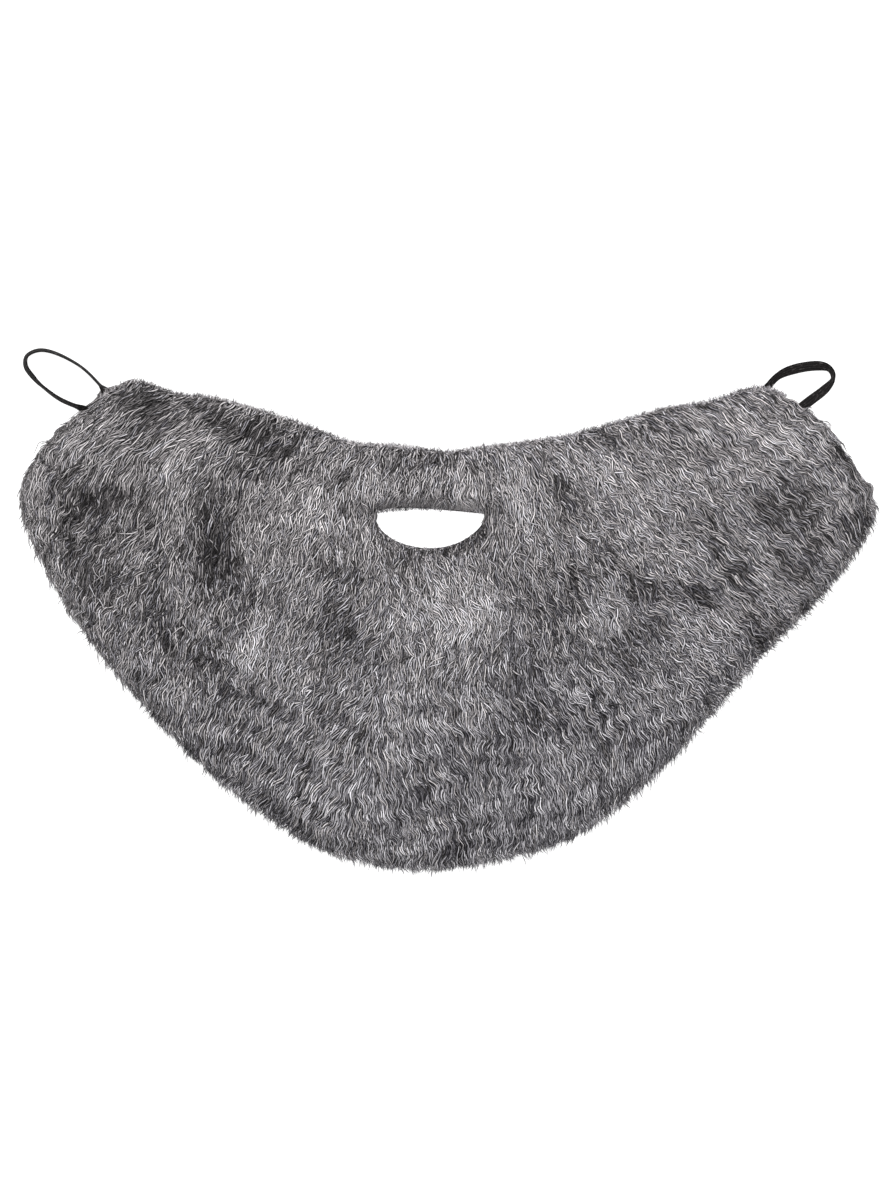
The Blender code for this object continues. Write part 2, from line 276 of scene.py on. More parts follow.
@dataclass
class FlowChart:
    """The lines that the pile is combed along, from the cut top edge down to the tips of the hair.

    A line is its top's across and up and its tip's across and up, in shares of the cloth's width from the
    middle and of its height from the chin.
    """

    width: float = 0.428
    height: float = 0.2445
    middle: tuple[float, float] = (0.00021, -0.12850)
    lines: tuple[tuple[float, float, float, float], ...] = (
        (-0.409, 0.967, -0.458, 0.902),
        (-0.367, 1.000, -0.497, 0.804),
        (-0.319, 0.975, -0.495, 0.708),
        (-0.272, 0.965, -0.446, 0.538),
        (-0.217, 0.939, -0.370, 0.362),
        (-0.161, 0.906, -0.271, 0.186),
        (-0.115, 0.875, -0.173, 0.063),
        (-0.074, 0.869, -0.109, 0.018),
        (-0.039, 0.863, -0.044, 0.000),
        (-0.004, 0.855, 0.008, 0.004),
        (0.043, 0.865, 0.078, 0.027),
        (0.090, 0.875, 0.148, 0.068),
        (0.143, 0.890, 0.224, 0.162),
        (0.201, 0.918, 0.300, 0.301),
        (0.257, 0.945, 0.370, 0.442),
        (0.308, 0.959, 0.429, 0.544),
        (0.348, 0.982, 0.484, 0.667),
        (0.374, 0.984, 0.498, 0.759),
        (0.394, 0.969, 0.444, 0.912),
    )
    cells: tuple[int, int] = (360, 60)
    tops: np.ndarray = field(init=False)
    tips: np.ndarray = field(init=False)

    def __post_init__(self) -> None:
        """Turns the shares into metres."""
        table = np.array(self.lines)
        size = np.array((self.width, self.height))
        self.tops = table[:, :2] * size + self.middle
        self.tips = table[:, 2:] * size + self.middle

    @property
    def last(self) -> int:
        """The number of the last line."""
        return len(self.lines) - 1

    def point(self, place: np.ndarray, share: np.ndarray) -> np.ndarray:
        """Points in the plane of the cloth.

        Args:
            place: Places along the lines, counted in lines from the left.
            share: How far down its line each one is, from 0 at the top to 1 at the tip.

        Returns:
            The points, one to a row.
        """
        top, tip = spline(self.tops, place), spline(self.tips, place)
        return top + (tip - top) * share[..., None]

    def run(self, place: np.ndarray) -> np.ndarray:
        """How long the line is at each place."""
        return np.linalg.norm(spline(self.tips, place) - spline(self.tops, place), axis=-1)

    def heading(self, place: np.ndarray) -> np.ndarray:
        """The angle that the line runs down at, at each place."""
        along = spline(self.tips, place) - spline(self.tops, place)
        return np.arctan2(along[..., 1], along[..., 0])

    def scatter(self, dice: np.random.Generator, count: int) -> tuple[np.ndarray, np.ndarray]:
        """Spreads places evenly over the cloth.

        Args:
            dice: The source of chance.
            count: How many places.

        Returns:
            The places along the lines, and their shares down them.
        """
        places = np.linspace(0, self.last, self.cells[0] + 1)
        shares = np.linspace(0, 1, self.cells[1] + 1)
        corners = self.point(*np.meshgrid(places, shares, indexing="ij"))
        across = corners[1:, :-1] - corners[:-1, :-1]
        down = corners[:-1, 1:] - corners[:-1, :-1]
        areas = np.abs(across[..., 0] * down[..., 1] - across[..., 1] * down[..., 0])
        chosen = dice.choice(areas.size, count, p=(areas / areas.sum()).ravel())
        column, row = np.divmod(chosen, areas.shape[1])
        place = places[column] + dice.random(count) * (places[1] - places[0])
        return place, shares[row] + dice.random(count) * (shares[1] - shares[0])


class Drift:
    """A smooth field over the cloth, mostly between -1 and 1, made of plane waves."""

    SPANS = (0.7, 1.6)
    CREST = 1.4

    def __init__(self, dice: np.random.Generator, span: float, waves: int = 10) -> None:
        """Draws the waves.

        Args:
            dice: The source of chance.
            span: About how far apart two crests are.
            waves: How many waves there are.
        """
        rates = 2 * math.pi / (span * dice.uniform(*self.SPANS, waves))
        self.rates = (turned(dice.uniform(0, 2 * math.pi, waves)) * rates[:, None]).T
        self.starts = dice.uniform(0, 2 * math.pi, waves)
        self.scale = math.sqrt(2 / waves) / self.CREST

    def at(self, points: np.ndarray) -> np.ndarray:
        """The field at points in the plane."""
        return np.sin(points[..., :2] @ self.rates + self.starts).sum(-1) * self.scale


@dataclass(frozen=True)
class Field:
    """Values at the points of an even grid over the cloth, read between them."""

    low: np.ndarray
    step: float
    values: np.ndarray

    def at(self, points: np.ndarray) -> np.ndarray:
        """The values at points in the plane.

        Args:
            points: Places in the plane, in metres.

        Returns:
            One value for each point.
        """
        last = np.array(self.values.shape[:2]) - 1.001
        place = np.clip((points[..., :2] - self.low) / self.step, 0, last)
        column, row = place[..., 0].astype(int), place[..., 1].astype(int)
        x, y = place[..., 0] - column, place[..., 1] - row
        if self.values.ndim > 2:
            x, y = x[..., None], y[..., None]
        near = self.values[column, row] * (1 - x) + self.values[column + 1, row] * x
        far = self.values[column, row + 1] * (1 - x) + self.values[column + 1, row + 1] * x
        return near * (1 - y) + far * y


@dataclass
class Combing:
    """Which way the pile is combed: marks in millimetres, with the heading there in degrees."""

    flow: FlowChart
    step: float = 0.002
    margin: float = 0.030
    reach: float = 0.009
    outline_points: int = 200
    marks: tuple[tuple[float, float, float], ...] = (
        (-164, 107, -145), (-124, 105, -150), (-189, 87, -130), (-159, 92, -143), (-129, 92, -150),
        (-99, 92, -138), (-74, 87, -122), (-49, 74, -120), (-29, 74, -97), (-9, 67, -105), (9, 67, -80),
        (26, 77, -66), (46, 79, -54), (76, 82, -50), (126, 92, -45), (171, 92, -35), (201, 82, -52),
        (-206, 62, -92), (-192, 70, -125), (-174, 57, -108), (-149, 62, -112), (-124, 57, -108),
        (-99, 57, -112), (-69, 62, -115), (-45, 54, -95), (31, 57, -82), (49, 57, -70), (66, 57, -50),
        (95, 57, -47), (126, 57, -46), (176, 57, -42), (209, 57, -65), (-200, 32, -92), (-179, 35, -128),
        (-154, 32, -127), (-129, 37, -92), (-99, 32, -90), (-74, 32, -110), (-49, 27, -92), (24, 35, -90),
        (46, 32, -65), (76, 35, -50), (126, 37, -42), (176, 32, -42), (-184, 12, -97), (-159, 12, -115),
        (-124, 12, -92), (-84, 12, -110), (-54, 12, -122), (-24, 14, -85), (-4, 7, -65), (16, 7, -68),
        (46, 7, -65), (76, 2, -60), (126, 7, -42), (171, 12, -40), (-164, -18, -100), (-134, -18, -100),
        (-99, -18, -95), (-64, -18, -114), (-44, -13, -122), (-19, -18, -93), (1, -23, -112), (26, -18, -98),
        (51, -18, -80), (86, -18, -55), (126, -18, -43), (-134, -43, -100), (-104, -48, -112),
        (-74, -51, -125), (-44, -48, -130), (-24, -48, -85), (-4, -51, -65), (26, -48, -65), (56, -43, -52),
        (96, -48, -55), (-119, -68, -100), (-89, -73, -115), (-54, -73, -128), (-29, -68, -72),
        (-4, -71, -60), (26, -73, -90), (56, -76, -70), (96, -73, -85), (-94, -93, -115), (-64, -98, -122),
        (-44, -103, -88), (-24, -103, -68), (-4, -101, -62), (26, -103, -90), (61, -103, -85),
        (-54, -118, -90), (-9, -118, -95), (26, -116, -85),
    )
    headings: Field = field(init=False)
    waves: Field = field(init=False)
    depths: Field = field(init=False)

    def __post_init__(self) -> None:
        """Spreads the marks over the cloth, and finds how far down the combing each place is."""
        places = np.linspace(0, self.flow.last, self.outline_points)
        outline = np.concatenate([spline(self.flow.tops, places), spline(self.flow.tips, places[::-1])])
        low, grid = grid_over(outline, self.margin, self.step)
        toward = np.zeros(grid.shape)
        for across, up, heading in self.marks:
            gap = ((grid - np.array((across, up)) * MM) ** 2).sum(-1)
            toward += turned(np.radians(np.array(heading))) / (gap + self.reach**2)[..., None] ** 2
        toward /= np.linalg.norm(toward, axis=-1)[..., None]
        self.headings = Field(low, self.step, toward)
        self.waves = Field(low, self.step, self.descent(toward, grid - low))
        self.depths = Field(low, self.step, depth_in(outline, grid))

    def descent(self, toward: np.ndarray, grid: np.ndarray) -> np.ndarray:
        """How far down the combing each place is, as the height whose slope is nearest to the combing.

        Args:
            toward: The heading at each place of the grid.
            grid: The places.

        Returns:
            The distance, in metres, from somewhere outside the cloth.
        """
        mean = toward.mean((0, 1))
        rates = [2 * math.pi * np.fft.fftfreq(count, self.step) for count in toward.shape[:2]]
        across, up = np.meshgrid(*rates, indexing="ij")
        parts = [np.fft.fft2(toward[..., axis] - mean[axis]) for axis in (0, 1)]
        square = across**2 + up**2
        square[0, 0] = 1
        heights = np.fft.ifft2(-1j * (across * parts[0] + up * parts[1]) / square).real
        return heights + grid @ mean


def depth_in(outline: np.ndarray, points: np.ndarray) -> np.ndarray:
    """How far inside a closed outline points are, in metres, and below 0 outside it.

    Args:
        outline: The outline's points in order.
        points: The points.

    Returns:
        Their depths.
    """
    gap = np.full(points.shape[:-1], 1.0)
    inside = np.zeros(points.shape[:-1], dtype=bool)
    for start, end in zip(outline, np.roll(outline, -1, axis=0)):
        run = end - start
        if run @ run == 0:
            continue
        share = np.clip(((points - start) @ run) / (run @ run), 0, 1)
        gap = np.minimum(gap, np.linalg.norm(points - start - share[..., None] * run, axis=-1))
        crosses = (start[1] > points[..., 1]) != (end[1] > points[..., 1])
        if crosses.any():
            reach = start[0] + (points[..., 1] - start[1]) / run[1] * run[0]
            inside ^= crosses & (points[..., 0] < reach)
    return np.where(inside, gap, -gap)


@dataclass
class MouthSlot:
    """The half-moon slot, with its corners at the ends of its width, the right one the more pointed.

    Lean is how much higher than its middle the upper lip is on the left, as a share of its rise.
    """

    middle: tuple[float, float] = (-0.00856, 0.04999)
    width: float = 0.0555
    rise: float = 0.0027
    lean: float = 0.70
    drop: float = 0.0170
    point: float = 1.25
    margin: float = 0.0100
    step: float = 0.00025
    outline_points: int = 96
    clearings: int = 4
    depths: Field = field(init=False)

    def __post_init__(self) -> None:
        """Finds how far inside the slot each place round it is."""
        outline = self.edge(self.outline_points)
        low, grid = grid_over(outline, self.margin, self.step)
        self.depths = Field(low, self.step, depth_in(outline, grid))

    def depth(self, points: np.ndarray) -> np.ndarray:
        """How far inside the slot points are, in metres, and below 0 outside it."""
        return self.depths.at(points)

    def edge(self, count: int) -> np.ndarray:
        """Points round the slot's edge.

        Args:
            count: How many points.

        Returns:
            The points, along the upper lip and back along the lower one.
        """
        points = []
        for step in range(count):
            angle = 2 * math.pi * step / count
            bow = self.rise * (1 + self.lean * math.cos(angle)) if math.sin(angle) > 0 else self.drop
            across = -math.cos(angle) * self.width / 2
            sharp = self.point if math.cos(angle) < 0 and math.sin(angle) < 0 else 1.0
            up = math.copysign(abs(math.sin(angle)) ** sharp, math.sin(angle)) * bow
            points.append(Vector((self.middle[0] + across, self.middle[1] + up)))
        return np.array(points)

    def cleared(self, points: np.ndarray, rim: float, near: float) -> np.ndarray:
        """Moves the points that are just inside the slot to just outside its edge.

        Args:
            points: Points in the plane of the cloth.
            rim: How far outside the edge they end up.
            near: How far inside the edge a point may be to be moved.

        Returns:
            The points.
        """
        reached = self.depth(points) < near
        for _ in range(self.clearings):
            ways = [np.array((self.step, 0)), np.array((0, self.step))]
            slope = np.stack([self.depth(points + way) - self.depth(points - way) for way in ways], -1)
            slope /= np.maximum(np.linalg.norm(slope, axis=-1), TINY)[..., None]
            shift = np.where(reached, np.maximum(self.depth(points) + rim, 0), 0)
            points = points - slope * shift[..., None]
        return points


@dataclass
class PileSurface:
    """How high the pile stands, read from the frame's own solid, and spread out a little past its edge."""

    node: bpy.types.Object
    step: float = 0.0008
    margin: float = 0.0160
    fade: float = 0.95
    ray_height: float = 1.0
    smoothings: int = 3
    heights: Field = field(init=False)

    def __post_init__(self) -> None:
        """Drops a ray at each point of a grid."""
        mesh = self.node.data
        tree = BVHTree.FromPolygons(
            [vert.co[:] for vert in mesh.vertices], [face.vertices[:] for face in mesh.polygons]
        )
        low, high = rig.box(self.node.name)
        corner = np.array(low.xy) - self.margin
        size = np.array(high.xy) + self.margin - corner
        counts = np.ceil(size / self.step).astype(int)
        down = Vector((0, 0, -1))
        heights = np.zeros(counts)
        for column in range(counts[0]):
            x = corner[0] + column * self.step
            for row in range(counts[1]):
                place = tree.ray_cast(Vector((x, corner[1] + row * self.step, self.ray_height)), down)[0]
                if place is not None:
                    heights[column, row] = place.z
        for _ in range(round(self.margin / self.step)):
            wide = np.pad(heights, 1)
            around = [wide[1:-1, 2:], wide[1:-1, :-2], wide[2:, 1:-1], wide[:-2, 1:-1]]
            heights = np.where(heights > 0, heights, np.max(around, axis=0) * self.fade)
        for _ in range(self.smoothings):
            wide = np.pad(heights, 1, mode="edge")
            around = wide[1:-1, 2:] + wide[1:-1, :-2] + wide[2:, 1:-1] + wide[:-2, 1:-1]
            heights = heights / 3 + around / 6
        self.heights = Field(corner, self.step, heights)

    def at(self, points: np.ndarray) -> np.ndarray:
        """The height of the pile over the floor at points in the plane."""
        return self.heights.at(points)


@dataclass(frozen=True)
class Swathe:
    """A paler or darker drift of fibres. Places and half sizes are in millimetres, its lean in degrees."""

    across: float
    up: float
    half_length: float
    half_width: float
    lean: float
    change: float


# Swathes: the paler ones first, then darker ones, then both as they were put right
SWATHE_ROWS = (
    (-156, 68, 7, 6, 60, 0.16), (-136, 74, 15, 9, 80, 0.26), (-181, 87, 12, 9, 40, 0.10),
    (-64, 57, 15, 7, 90, 0.28), (-76, 50, 18, 14, 60, 0.12), (-4, 7, 28, 17, 0, 0.26),
    (17, 2, 9, 7, 60, 0.16), (-99, -18, 14, 11, 60, 0.28), (-26, -43, 25, 6, 90, 0.12),
    (36, 57, 24, 8, 100, 0.22), (76, 72, 20, 9, -40, 0.22), (101, 42, 34, 15, -55, 0.20),
    (126, 67, 15, 9, -45, 0.22), (151, 72, 11, 7, -35, 0.22), (146, 97, 13, 6, -45, 0.24),
    (129, 89, 9, 7, -45, 0.16), (136, 2, 14, 11, 90, 0.18), (79, -5, 11, 8, 20, 0.20),
    (159, 22, 15, 6, 100, 0.14), (56, -75, 14, 8, 110, 0.12), (-156, 24, 13, 8, 90, 0.12),
    (6, 67, 11, 8, 90, 0.16), (176, 87, 16, 10, -45, 0.10), (-34, -3, 12, 8, 0, 0.12),
    (-129, -43, 13, 9, 50, 0.08), (-153, 106, 20, 8, 10, -0.18), (-89, 87, 22, 12, -10, -0.15),
    (-114, 97, 18, 8, -10, -0.20), (-186, 42, 25, 20, 80, -0.13), (-169, 57, 16, 9, 10, -0.18),
    (-119, 38, 30, 11, 95, -0.20), (-111, 22, 13, 9, 110, -0.13), (-181, 12, 18, 14, 110, -0.14),
    (-51, -3, 17, 12, 0, -0.12), (-61, 20, 10, 8, 0, -0.14), (55, 64, 24, 9, -50, -0.14),
    (106, 12, 22, 8, -5, -0.19), (127, 9, 11, 8, -40, -0.17), (141, 27, 15, 9, -40, -0.22),
    (177, 50, 24, 16, -80, -0.17), (159, 52, 11, 8, -40, -0.18), (206, 47, 10, 6, 90, -0.22),
    (46, 12, 22, 18, 90, -0.12), (-131, -18, 17, 8, -45, -0.18), (-94, -43, 16, 8, -30, -0.12),
    (-11, -88, 9, 8, 0, -0.22), (6, -113, 12, 8, 90, -0.22), (39, -41, 9, 8, 0, -0.18),
    (56, -53, 34, 8, 0, -0.14), (101, -61, 18, 8, 10, -0.18), (89, -23, 12, 9, -30, -0.12),
    (131, -38, 13, 9, 40, -0.16), (154, -13, 12, 8, 50, -0.18), (-9, 75, 32, 5, 0, -0.18),
    (36, -103, 15, 9, 0, -0.14), (-86, -99, 12, 8, -30, -0.18), (71, 87, 15, 5, 15, -0.14),
    (106, 82, 12, 5, -45, -0.14), (131, 102, 10, 5, 10, -0.16), (141, 85, 8, 5, -45, -0.14),
    (-197, 14, 20, 10, 110, 0.20), (-206, 48, 14, 8, 90, 0.14), (-119, 91, 9, 8, 0, 0.14),
    (-101, 101, 8, 5, -20, 0.14), (-38, 68, 16, 10, -20, 0.20), (-50, 42, 14, 8, 0, 0.14),
    (-72, 15, 9, 7, 0, 0.12), (-122, 5, 11, 8, 0, 0.12), (-132, -15, 8, 6, 90, 0.10),
    (-72, -37, 13, 9, 0, 0.10), (53, 79, 9, 8, 0, 0.16), (60, 35, 16, 9, 60, 0.13),
    (105, 81, 12, 8, 0, 0.16), (131, 87, 8, 7, 0, 0.10), (196, 57, 18, 7, 0, 0.13),
    (145, 35, 10, 8, 0, 0.10), (128, -36, 14, 9, 100, 0.09), (96, -55, 18, 8, 0, 0.12),
    (2, -14, 12, 9, 0, 0.10), (4, -54, 9, 8, 0, 0.09), (-60, -90, 14, 9, 0, 0.07),
    (-151, 30, 30, 12, 90, -0.13), (-147, 4, 12, 8, 90, -0.12), (-113, -24, 20, 9, 100, -0.14),
    (-109, -69, 14, 8, 120, -0.13), (-95, 70, 10, 8, 90, -0.12), (-59, 66, 10, 9, 90, -0.13),
    (-20, 16, 12, 10, 0, -0.15), (-40, -20, 17, 8, 10, -0.13), (14, -80, 13, 8, 0, -0.14),
    (36, -62, 22, 8, 0, -0.12), (99, -10, 17, 8, 0, -0.15), (84, 60, 16, 8, 110, -0.13),
    (108, 37, 11, 8, 60, -0.12), (75, 84, 12, 7, 0, -0.14), (146, 105, 9, 6, 0, -0.12),
    (200, 77, 12, 8, 120, -0.18), (184, 6, 16, 7, 60, -0.12), (-148, 92, 18, 10, 60, -0.10),
    (20, 26, 10, 7, 90, -0.09), (-77, -73, 10, 7, 0, -0.08), (12, 56, 9, 6, 0, 0.18),
    (-196, 66, 12, 8, 90, -0.10), (-104, 4, 14, 9, 90, -0.10), (-170, 24, 12, 10, 90, -0.07),
    (85, 28, 12, 8, -40, -0.12), (136, 4, 14, 8, -20, -0.18), (117, 80, 14, 7, -55, -0.12),
    (38, -20, 16, 7, 10, -0.10), (2, -28, 16, 9, 90, 0.12), (168, 80, 14, 8, -45, 0.14),
    (8, -102, 10, 8, 0, 0.12), (184, 98, 8, 8, 0, 0.12), (62, 20, 12, 8, -40, -0.10),
    (172, 20, 10, 8, 0, -0.12), (128, 45, 10, 7, -50, -0.08), (-46, 12, 10, 8, 90, -0.08),
    (32, -92, 9, 7, 90, 0.10), (-62, -67, 9, 6, 0, 0.10), (20, -51, 20, 5, 0, 0.10),
    (118, -14, 10, 7, 60, 0.10), (150, 88, 10, 7, -45, 0.12), (-38, 46, 7, 7, 0, 0.14),
    (18, 2, 7, 8, 90, 0.12),
)
SWATHES = tuple(Swathe(*row) for row in SWATHE_ROWS)


@dataclass
class Shading:
    """Where the mix of fibres is paler, darker or cooler than the rest."""

    dice: np.random.Generator
    middle_tone: float = 0.69
    depth: float = 1.18
    broad_span: float = 0.026
    broad_change: float = 0.03
    fine_span: float = 0.009
    fine_change: float = 0.02
    coolness_range: tuple[float, float, float] = (0.15, 0.55, 0.20)
    cool_below: tuple[float, float] = (-0.06, 0.10)
    cool_right: tuple[float, float] = (-0.16, 0.12)
    swathes: tuple[Swathe, ...] = SWATHES
    broad: Drift = field(init=False)
    fine: Drift = field(init=False)

    def __post_init__(self) -> None:
        """Draws the chance part of the mix."""
        self.broad = Drift(self.dice, self.broad_span)
        self.fine = Drift(self.dice, self.fine_span)

    def tone(self, points: np.ndarray) -> np.ndarray:
        """How pale the mix is at points in the plane, from 0 to 1.

        Args:
            points: Places in the plane, in metres.

        Returns:
            One tone for each point.
        """
        tone = self.middle_tone + self.broad_change * self.broad.at(points)
        tone = tone + self.fine_change * self.fine.at(points)
        for swathe in self.swathes:
            offset = points[..., :2] - np.array((swathe.across, swathe.up)) * MM
            lean = math.radians(swathe.lean)
            along = (offset @ np.array((math.cos(lean), math.sin(lean)))) / (swathe.half_length * MM)
            aside = (offset @ np.array((-math.sin(lean), math.cos(lean)))) / (swathe.half_width * MM)
            tone = tone + self.depth * swathe.change * np.exp(-(along**2) - aside**2)
        return tone

    def coolness(self, points: np.ndarray) -> np.ndarray:
        """The share of cool fibres at points in the plane: few at the top left, most at the lower edges.

        Args:
            points: Places in the plane, in metres.

        Returns:
            One share for each point, from 0 to 1.
        """
        least, more_low, more_right = self.coolness_range
        low = smooth(-points[..., 1], *self.cool_below)
        right = smooth(points[..., 0], *self.cool_right)
        return np.clip(least + more_low * low + more_right * right, 0, 1)


@dataclass(frozen=True)
class FibreChart:
    """How a strand finds its fibres on the shade map: dark at 0 across, pale at 1, and root to tip up."""

    fibres: int = 128
    rows: int = len(Dye)
    border: float = 0.02

    def windows(
        self, dice: np.random.Generator, tone: np.ndarray, cool: np.ndarray, span: int
    ) -> tuple[np.ndarray, np.ndarray]:
        """Picks the fibres that strands show.

        Args:
            dice: The source of chance.
            tone: How pale each strand is.
            cool: The share of cool fibres at each strand.
            span: How many fibres side by side a strand shows.

        Returns:
            The first fibre's place across the chart for each strand, and its row.
        """
        first = np.clip(np.round(tone * self.fibres - span / 2), 0, self.fibres - span)
        row = (dice.random(len(tone)) < cool).astype(int)
        return first / self.fibres, row

    def up(self, row: np.ndarray, share: np.ndarray) -> np.ndarray:
        """The place up the chart of points along strands, clear of its rows' borders."""
        return (row + self.border + (1 - 2 * self.border) * np.clip(share, 0, 1)) / self.rows

    def edges(self, first: np.ndarray, span: int, inset: float = 0.0) -> np.ndarray:
        """The places across the chart of the two edges of strands.

        Args:
            first: Their first fibres' places.
            span: How many fibres each one shows.
            inset: How much of a fibre is left out at either edge.

        Returns:
            The two places of each strand.
        """
        inset = inset / self.fibres
        return np.stack([first + inset, first + span / self.fibres - inset], -1)


@dataclass
class Strands:
    """Flat strands as arrays: their left and right edges, and their places on the shade map."""

    left: np.ndarray
    right: np.ndarray
    across: np.ndarray
    up: np.ndarray
    shown: np.ndarray | None = None

    def only(self, chosen: np.ndarray) -> "Strands":
        """The strands that are chosen."""
        return Strands(self.left[chosen], self.right[chosen], self.across[chosen], self.up[chosen])


def strand_piece(name: str, batches: list[Strands], material: bpy.types.Material) -> bpy.types.Object:
    """Joins strands into one mesh object, with their shade map.

    Args:
        name: The object's name.
        batches: The strands.
        material: What they are made of.

    Returns:
        The object.
    """
    points, faces, corners = [], [], []
    first = 0
    for batch in batches:
        count, rows = batch.left.shape[:2]
        points.append(np.stack([batch.left, batch.right], 2).reshape(-1, 3))
        near = first + (np.arange(count)[:, None] * rows + np.arange(rows - 1)) * 2
        shown = np.ones(near.shape, dtype=bool) if batch.shown is None else batch.shown
        faces.append(np.stack([near, near + 1, near + 3, near + 2], -1)[shown])
        low, high = batch.up[:, :-1], batch.up[:, 1:]
        start = np.broadcast_to(batch.across[:, :1], low.shape)
        end = np.broadcast_to(batch.across[:, 1:], low.shape)
        ring = [(start, low), (end, low), (end, high), (start, high)]
        corners.append(np.stack([np.stack(corner, -1) for corner in ring], 2)[shown].reshape(-1, 2))
        first += count * rows * 2
    used, all_faces = np.unique(np.concatenate(faces), return_inverse=True)
    all_points, all_faces = np.concatenate(points)[used], all_faces.reshape(-1, 4)
    mesh = bpy.data.meshes.new(name)
    mesh.vertices.add(len(all_points))
    mesh.vertices.foreach_set("co", all_points.astype(np.float32).ravel())
    mesh.loops.add(all_faces.size)
    mesh.polygons.add(len(all_faces))
    mesh.polygons.foreach_set("loop_start", np.arange(len(all_faces), dtype=np.int32) * 4)
    mesh.polygons.foreach_set("vertices", all_faces.astype(np.int32).ravel())
    mesh.polygons.foreach_set("use_smooth", np.ones(len(all_faces), dtype=bool))
    mesh.uv_layers.new(name=SHADE_MAP).data.foreach_set(
        "uv", np.concatenate(corners).astype(np.float32).ravel()
    )
    mesh.update(calc_edges=True)
    return placed(name, mesh, material)


def placed(name: str, mesh: bpy.types.Mesh, material: bpy.types.Material) -> bpy.types.Object:
    """Puts a mesh in the scene as an object of its material.

    Args:
        name: The object's name.
        mesh: Its mesh.
        material: What it is made of.

    Returns:
        The object.
    """
    mesh.materials.append(material)
    piece = bpy.data.objects.new(name, mesh)
    bpy.context.scene.collection.objects.link(piece)
    return piece


def from_bmesh(name: str, bm: bmesh.types.BMesh, material: bpy.types.Material) -> bpy.types.Object:
    """Turns a closed bmesh into a smooth object whose faces point outwards.

    Args:
        name: The object's name.
        bm: The bmesh, which is freed.
        material: What it is made of.

    Returns:
        The object.
    """
    bmesh.ops.recalc_face_normals(bm, faces=bm.faces)
    mesh = bpy.data.meshes.new(name)
    bm.to_mesh(mesh)
    bm.free()
    mesh.shade_smooth()
    mesh.set_sharp_from_angle(angle=math.radians(SHARP_ANGLE))
    return placed(name, mesh, material)


class Recipe:
    """A node material in the making."""

    def __init__(self, name: str, roughness: float, **sockets: object) -> None:
        """Starts from one plain shader.

        Args:
            name: The material's name.
            roughness: The shader's roughness.
            **sockets: More of the shader's sockets, with _ for a space.
        """
        self.material = bpy.data.materials.new(name)
        self.material.use_nodes = True
        self.nodes = self.material.node_tree.nodes
        self.links = self.material.node_tree.links
        self.shader = self.nodes["Principled BSDF"]
        self.shader.inputs["Roughness"].default_value = roughness
        for socket, value in sockets.items():
            self.shader.inputs[socket.replace("_", " ")].default_value = value

    def add(self, kind: str, inputs: dict | None = None, **settings: object) -> bpy.types.Node:
        """Adds a node.

        Args:
            kind: The node's type.
            inputs: Sockets or values for its inputs, by name or number.
            **settings: The node's own settings.

        Returns:
            The node.
        """
        node = self.nodes.new(kind)
        for setting, value in settings.items():
            setattr(node, setting, value)
        for name, value in (inputs or {}).items():
            if isinstance(value, bpy.types.NodeSocket):
                self.links.new(value, node.inputs[name])
            else:
                node.inputs[name].default_value = value
        return node

    def sum(self, operation: str, *values: object) -> bpy.types.NodeSocket:
        """The outcome of one piece of arithmetic.

        Args:
            operation: What is done, as the math node names it.
            *values: The sockets or numbers that it is done to.

        Returns:
            The socket that gives it.
        """
        return self.add("ShaderNodeMath", dict(enumerate(values)), operation=operation).outputs[0]

    def split(self, vector: bpy.types.NodeSocket) -> list[bpy.types.NodeSocket]:
        """The three parts of a vector."""
        return list(self.add("ShaderNodeSeparateXYZ", {0: vector}).outputs)

    def join(self, *values: object) -> bpy.types.NodeSocket:
        """A vector from its parts."""
        return self.add("ShaderNodeCombineXYZ", dict(enumerate(values))).outputs[0]

    def ramp(
        self, factor: bpy.types.NodeSocket, stops: tuple[tuple[float, tuple[float, float, float]], ...]
    ) -> bpy.types.NodeSocket:
        """Colours by a number.

        Args:
            factor: The number, from 0 to 1.
            stops: Places with their colours.

        Returns:
            The colour's socket.
        """
        node = self.add("ShaderNodeValToRGB", {0: factor})
        elements = node.color_ramp.elements
        while len(elements) < len(stops):
            elements.new(0.5)
        for element, (place, colour) in zip(elements, stops):
            element.position = place
            element.color = (*colour, 1)
        return node.outputs[0]

    def mix(self, factor: object, first: object, second: object) -> bpy.types.NodeSocket:
        """A mix of two colours.

        Args:
            factor: How much of the second, from 0 to 1.
            first: The first colour.
            second: The second colour.

        Returns:
            The colour's socket.
        """
        inputs = {0: factor, 6: first, 7: second}
        return self.add("ShaderNodeMix", inputs, data_type="RGBA").outputs[2]

    def noise(self, place: bpy.types.NodeSocket, scale: float, detail: float) -> bpy.types.NodeSocket:
        """A soft chance pattern, from 0 to 1.

        Args:
            place: The socket of the place that it is read at.
            scale: How many times finer than its place it is.
            detail: How many finer patterns lie over it.

        Returns:
            The pattern's socket.
        """
        inputs = {"Vector": place, "Scale": scale, "Detail": detail}
        return self.add("ShaderNodeTexNoise", inputs).outputs[0]

    def colour(self, socket: bpy.types.NodeSocket) -> None:
        """Makes a socket the shader's colour."""
        self.links.new(socket, self.shader.inputs["Base Color"])

    def relief(self, height: bpy.types.NodeSocket, depth: float, strength: float) -> None:
        """Makes a height, from 0 to 1, the surface's relief.

        Args:
            height: The height's socket.
            depth: How far in metres it reaches from 0 to 1.
            strength: How much of it shows.
        """
        bump = self.add("ShaderNodeBump", {"Height": height, "Distance": depth, "Strength": strength})
        self.links.new(bump.outputs[0], self.shader.inputs["Normal"])


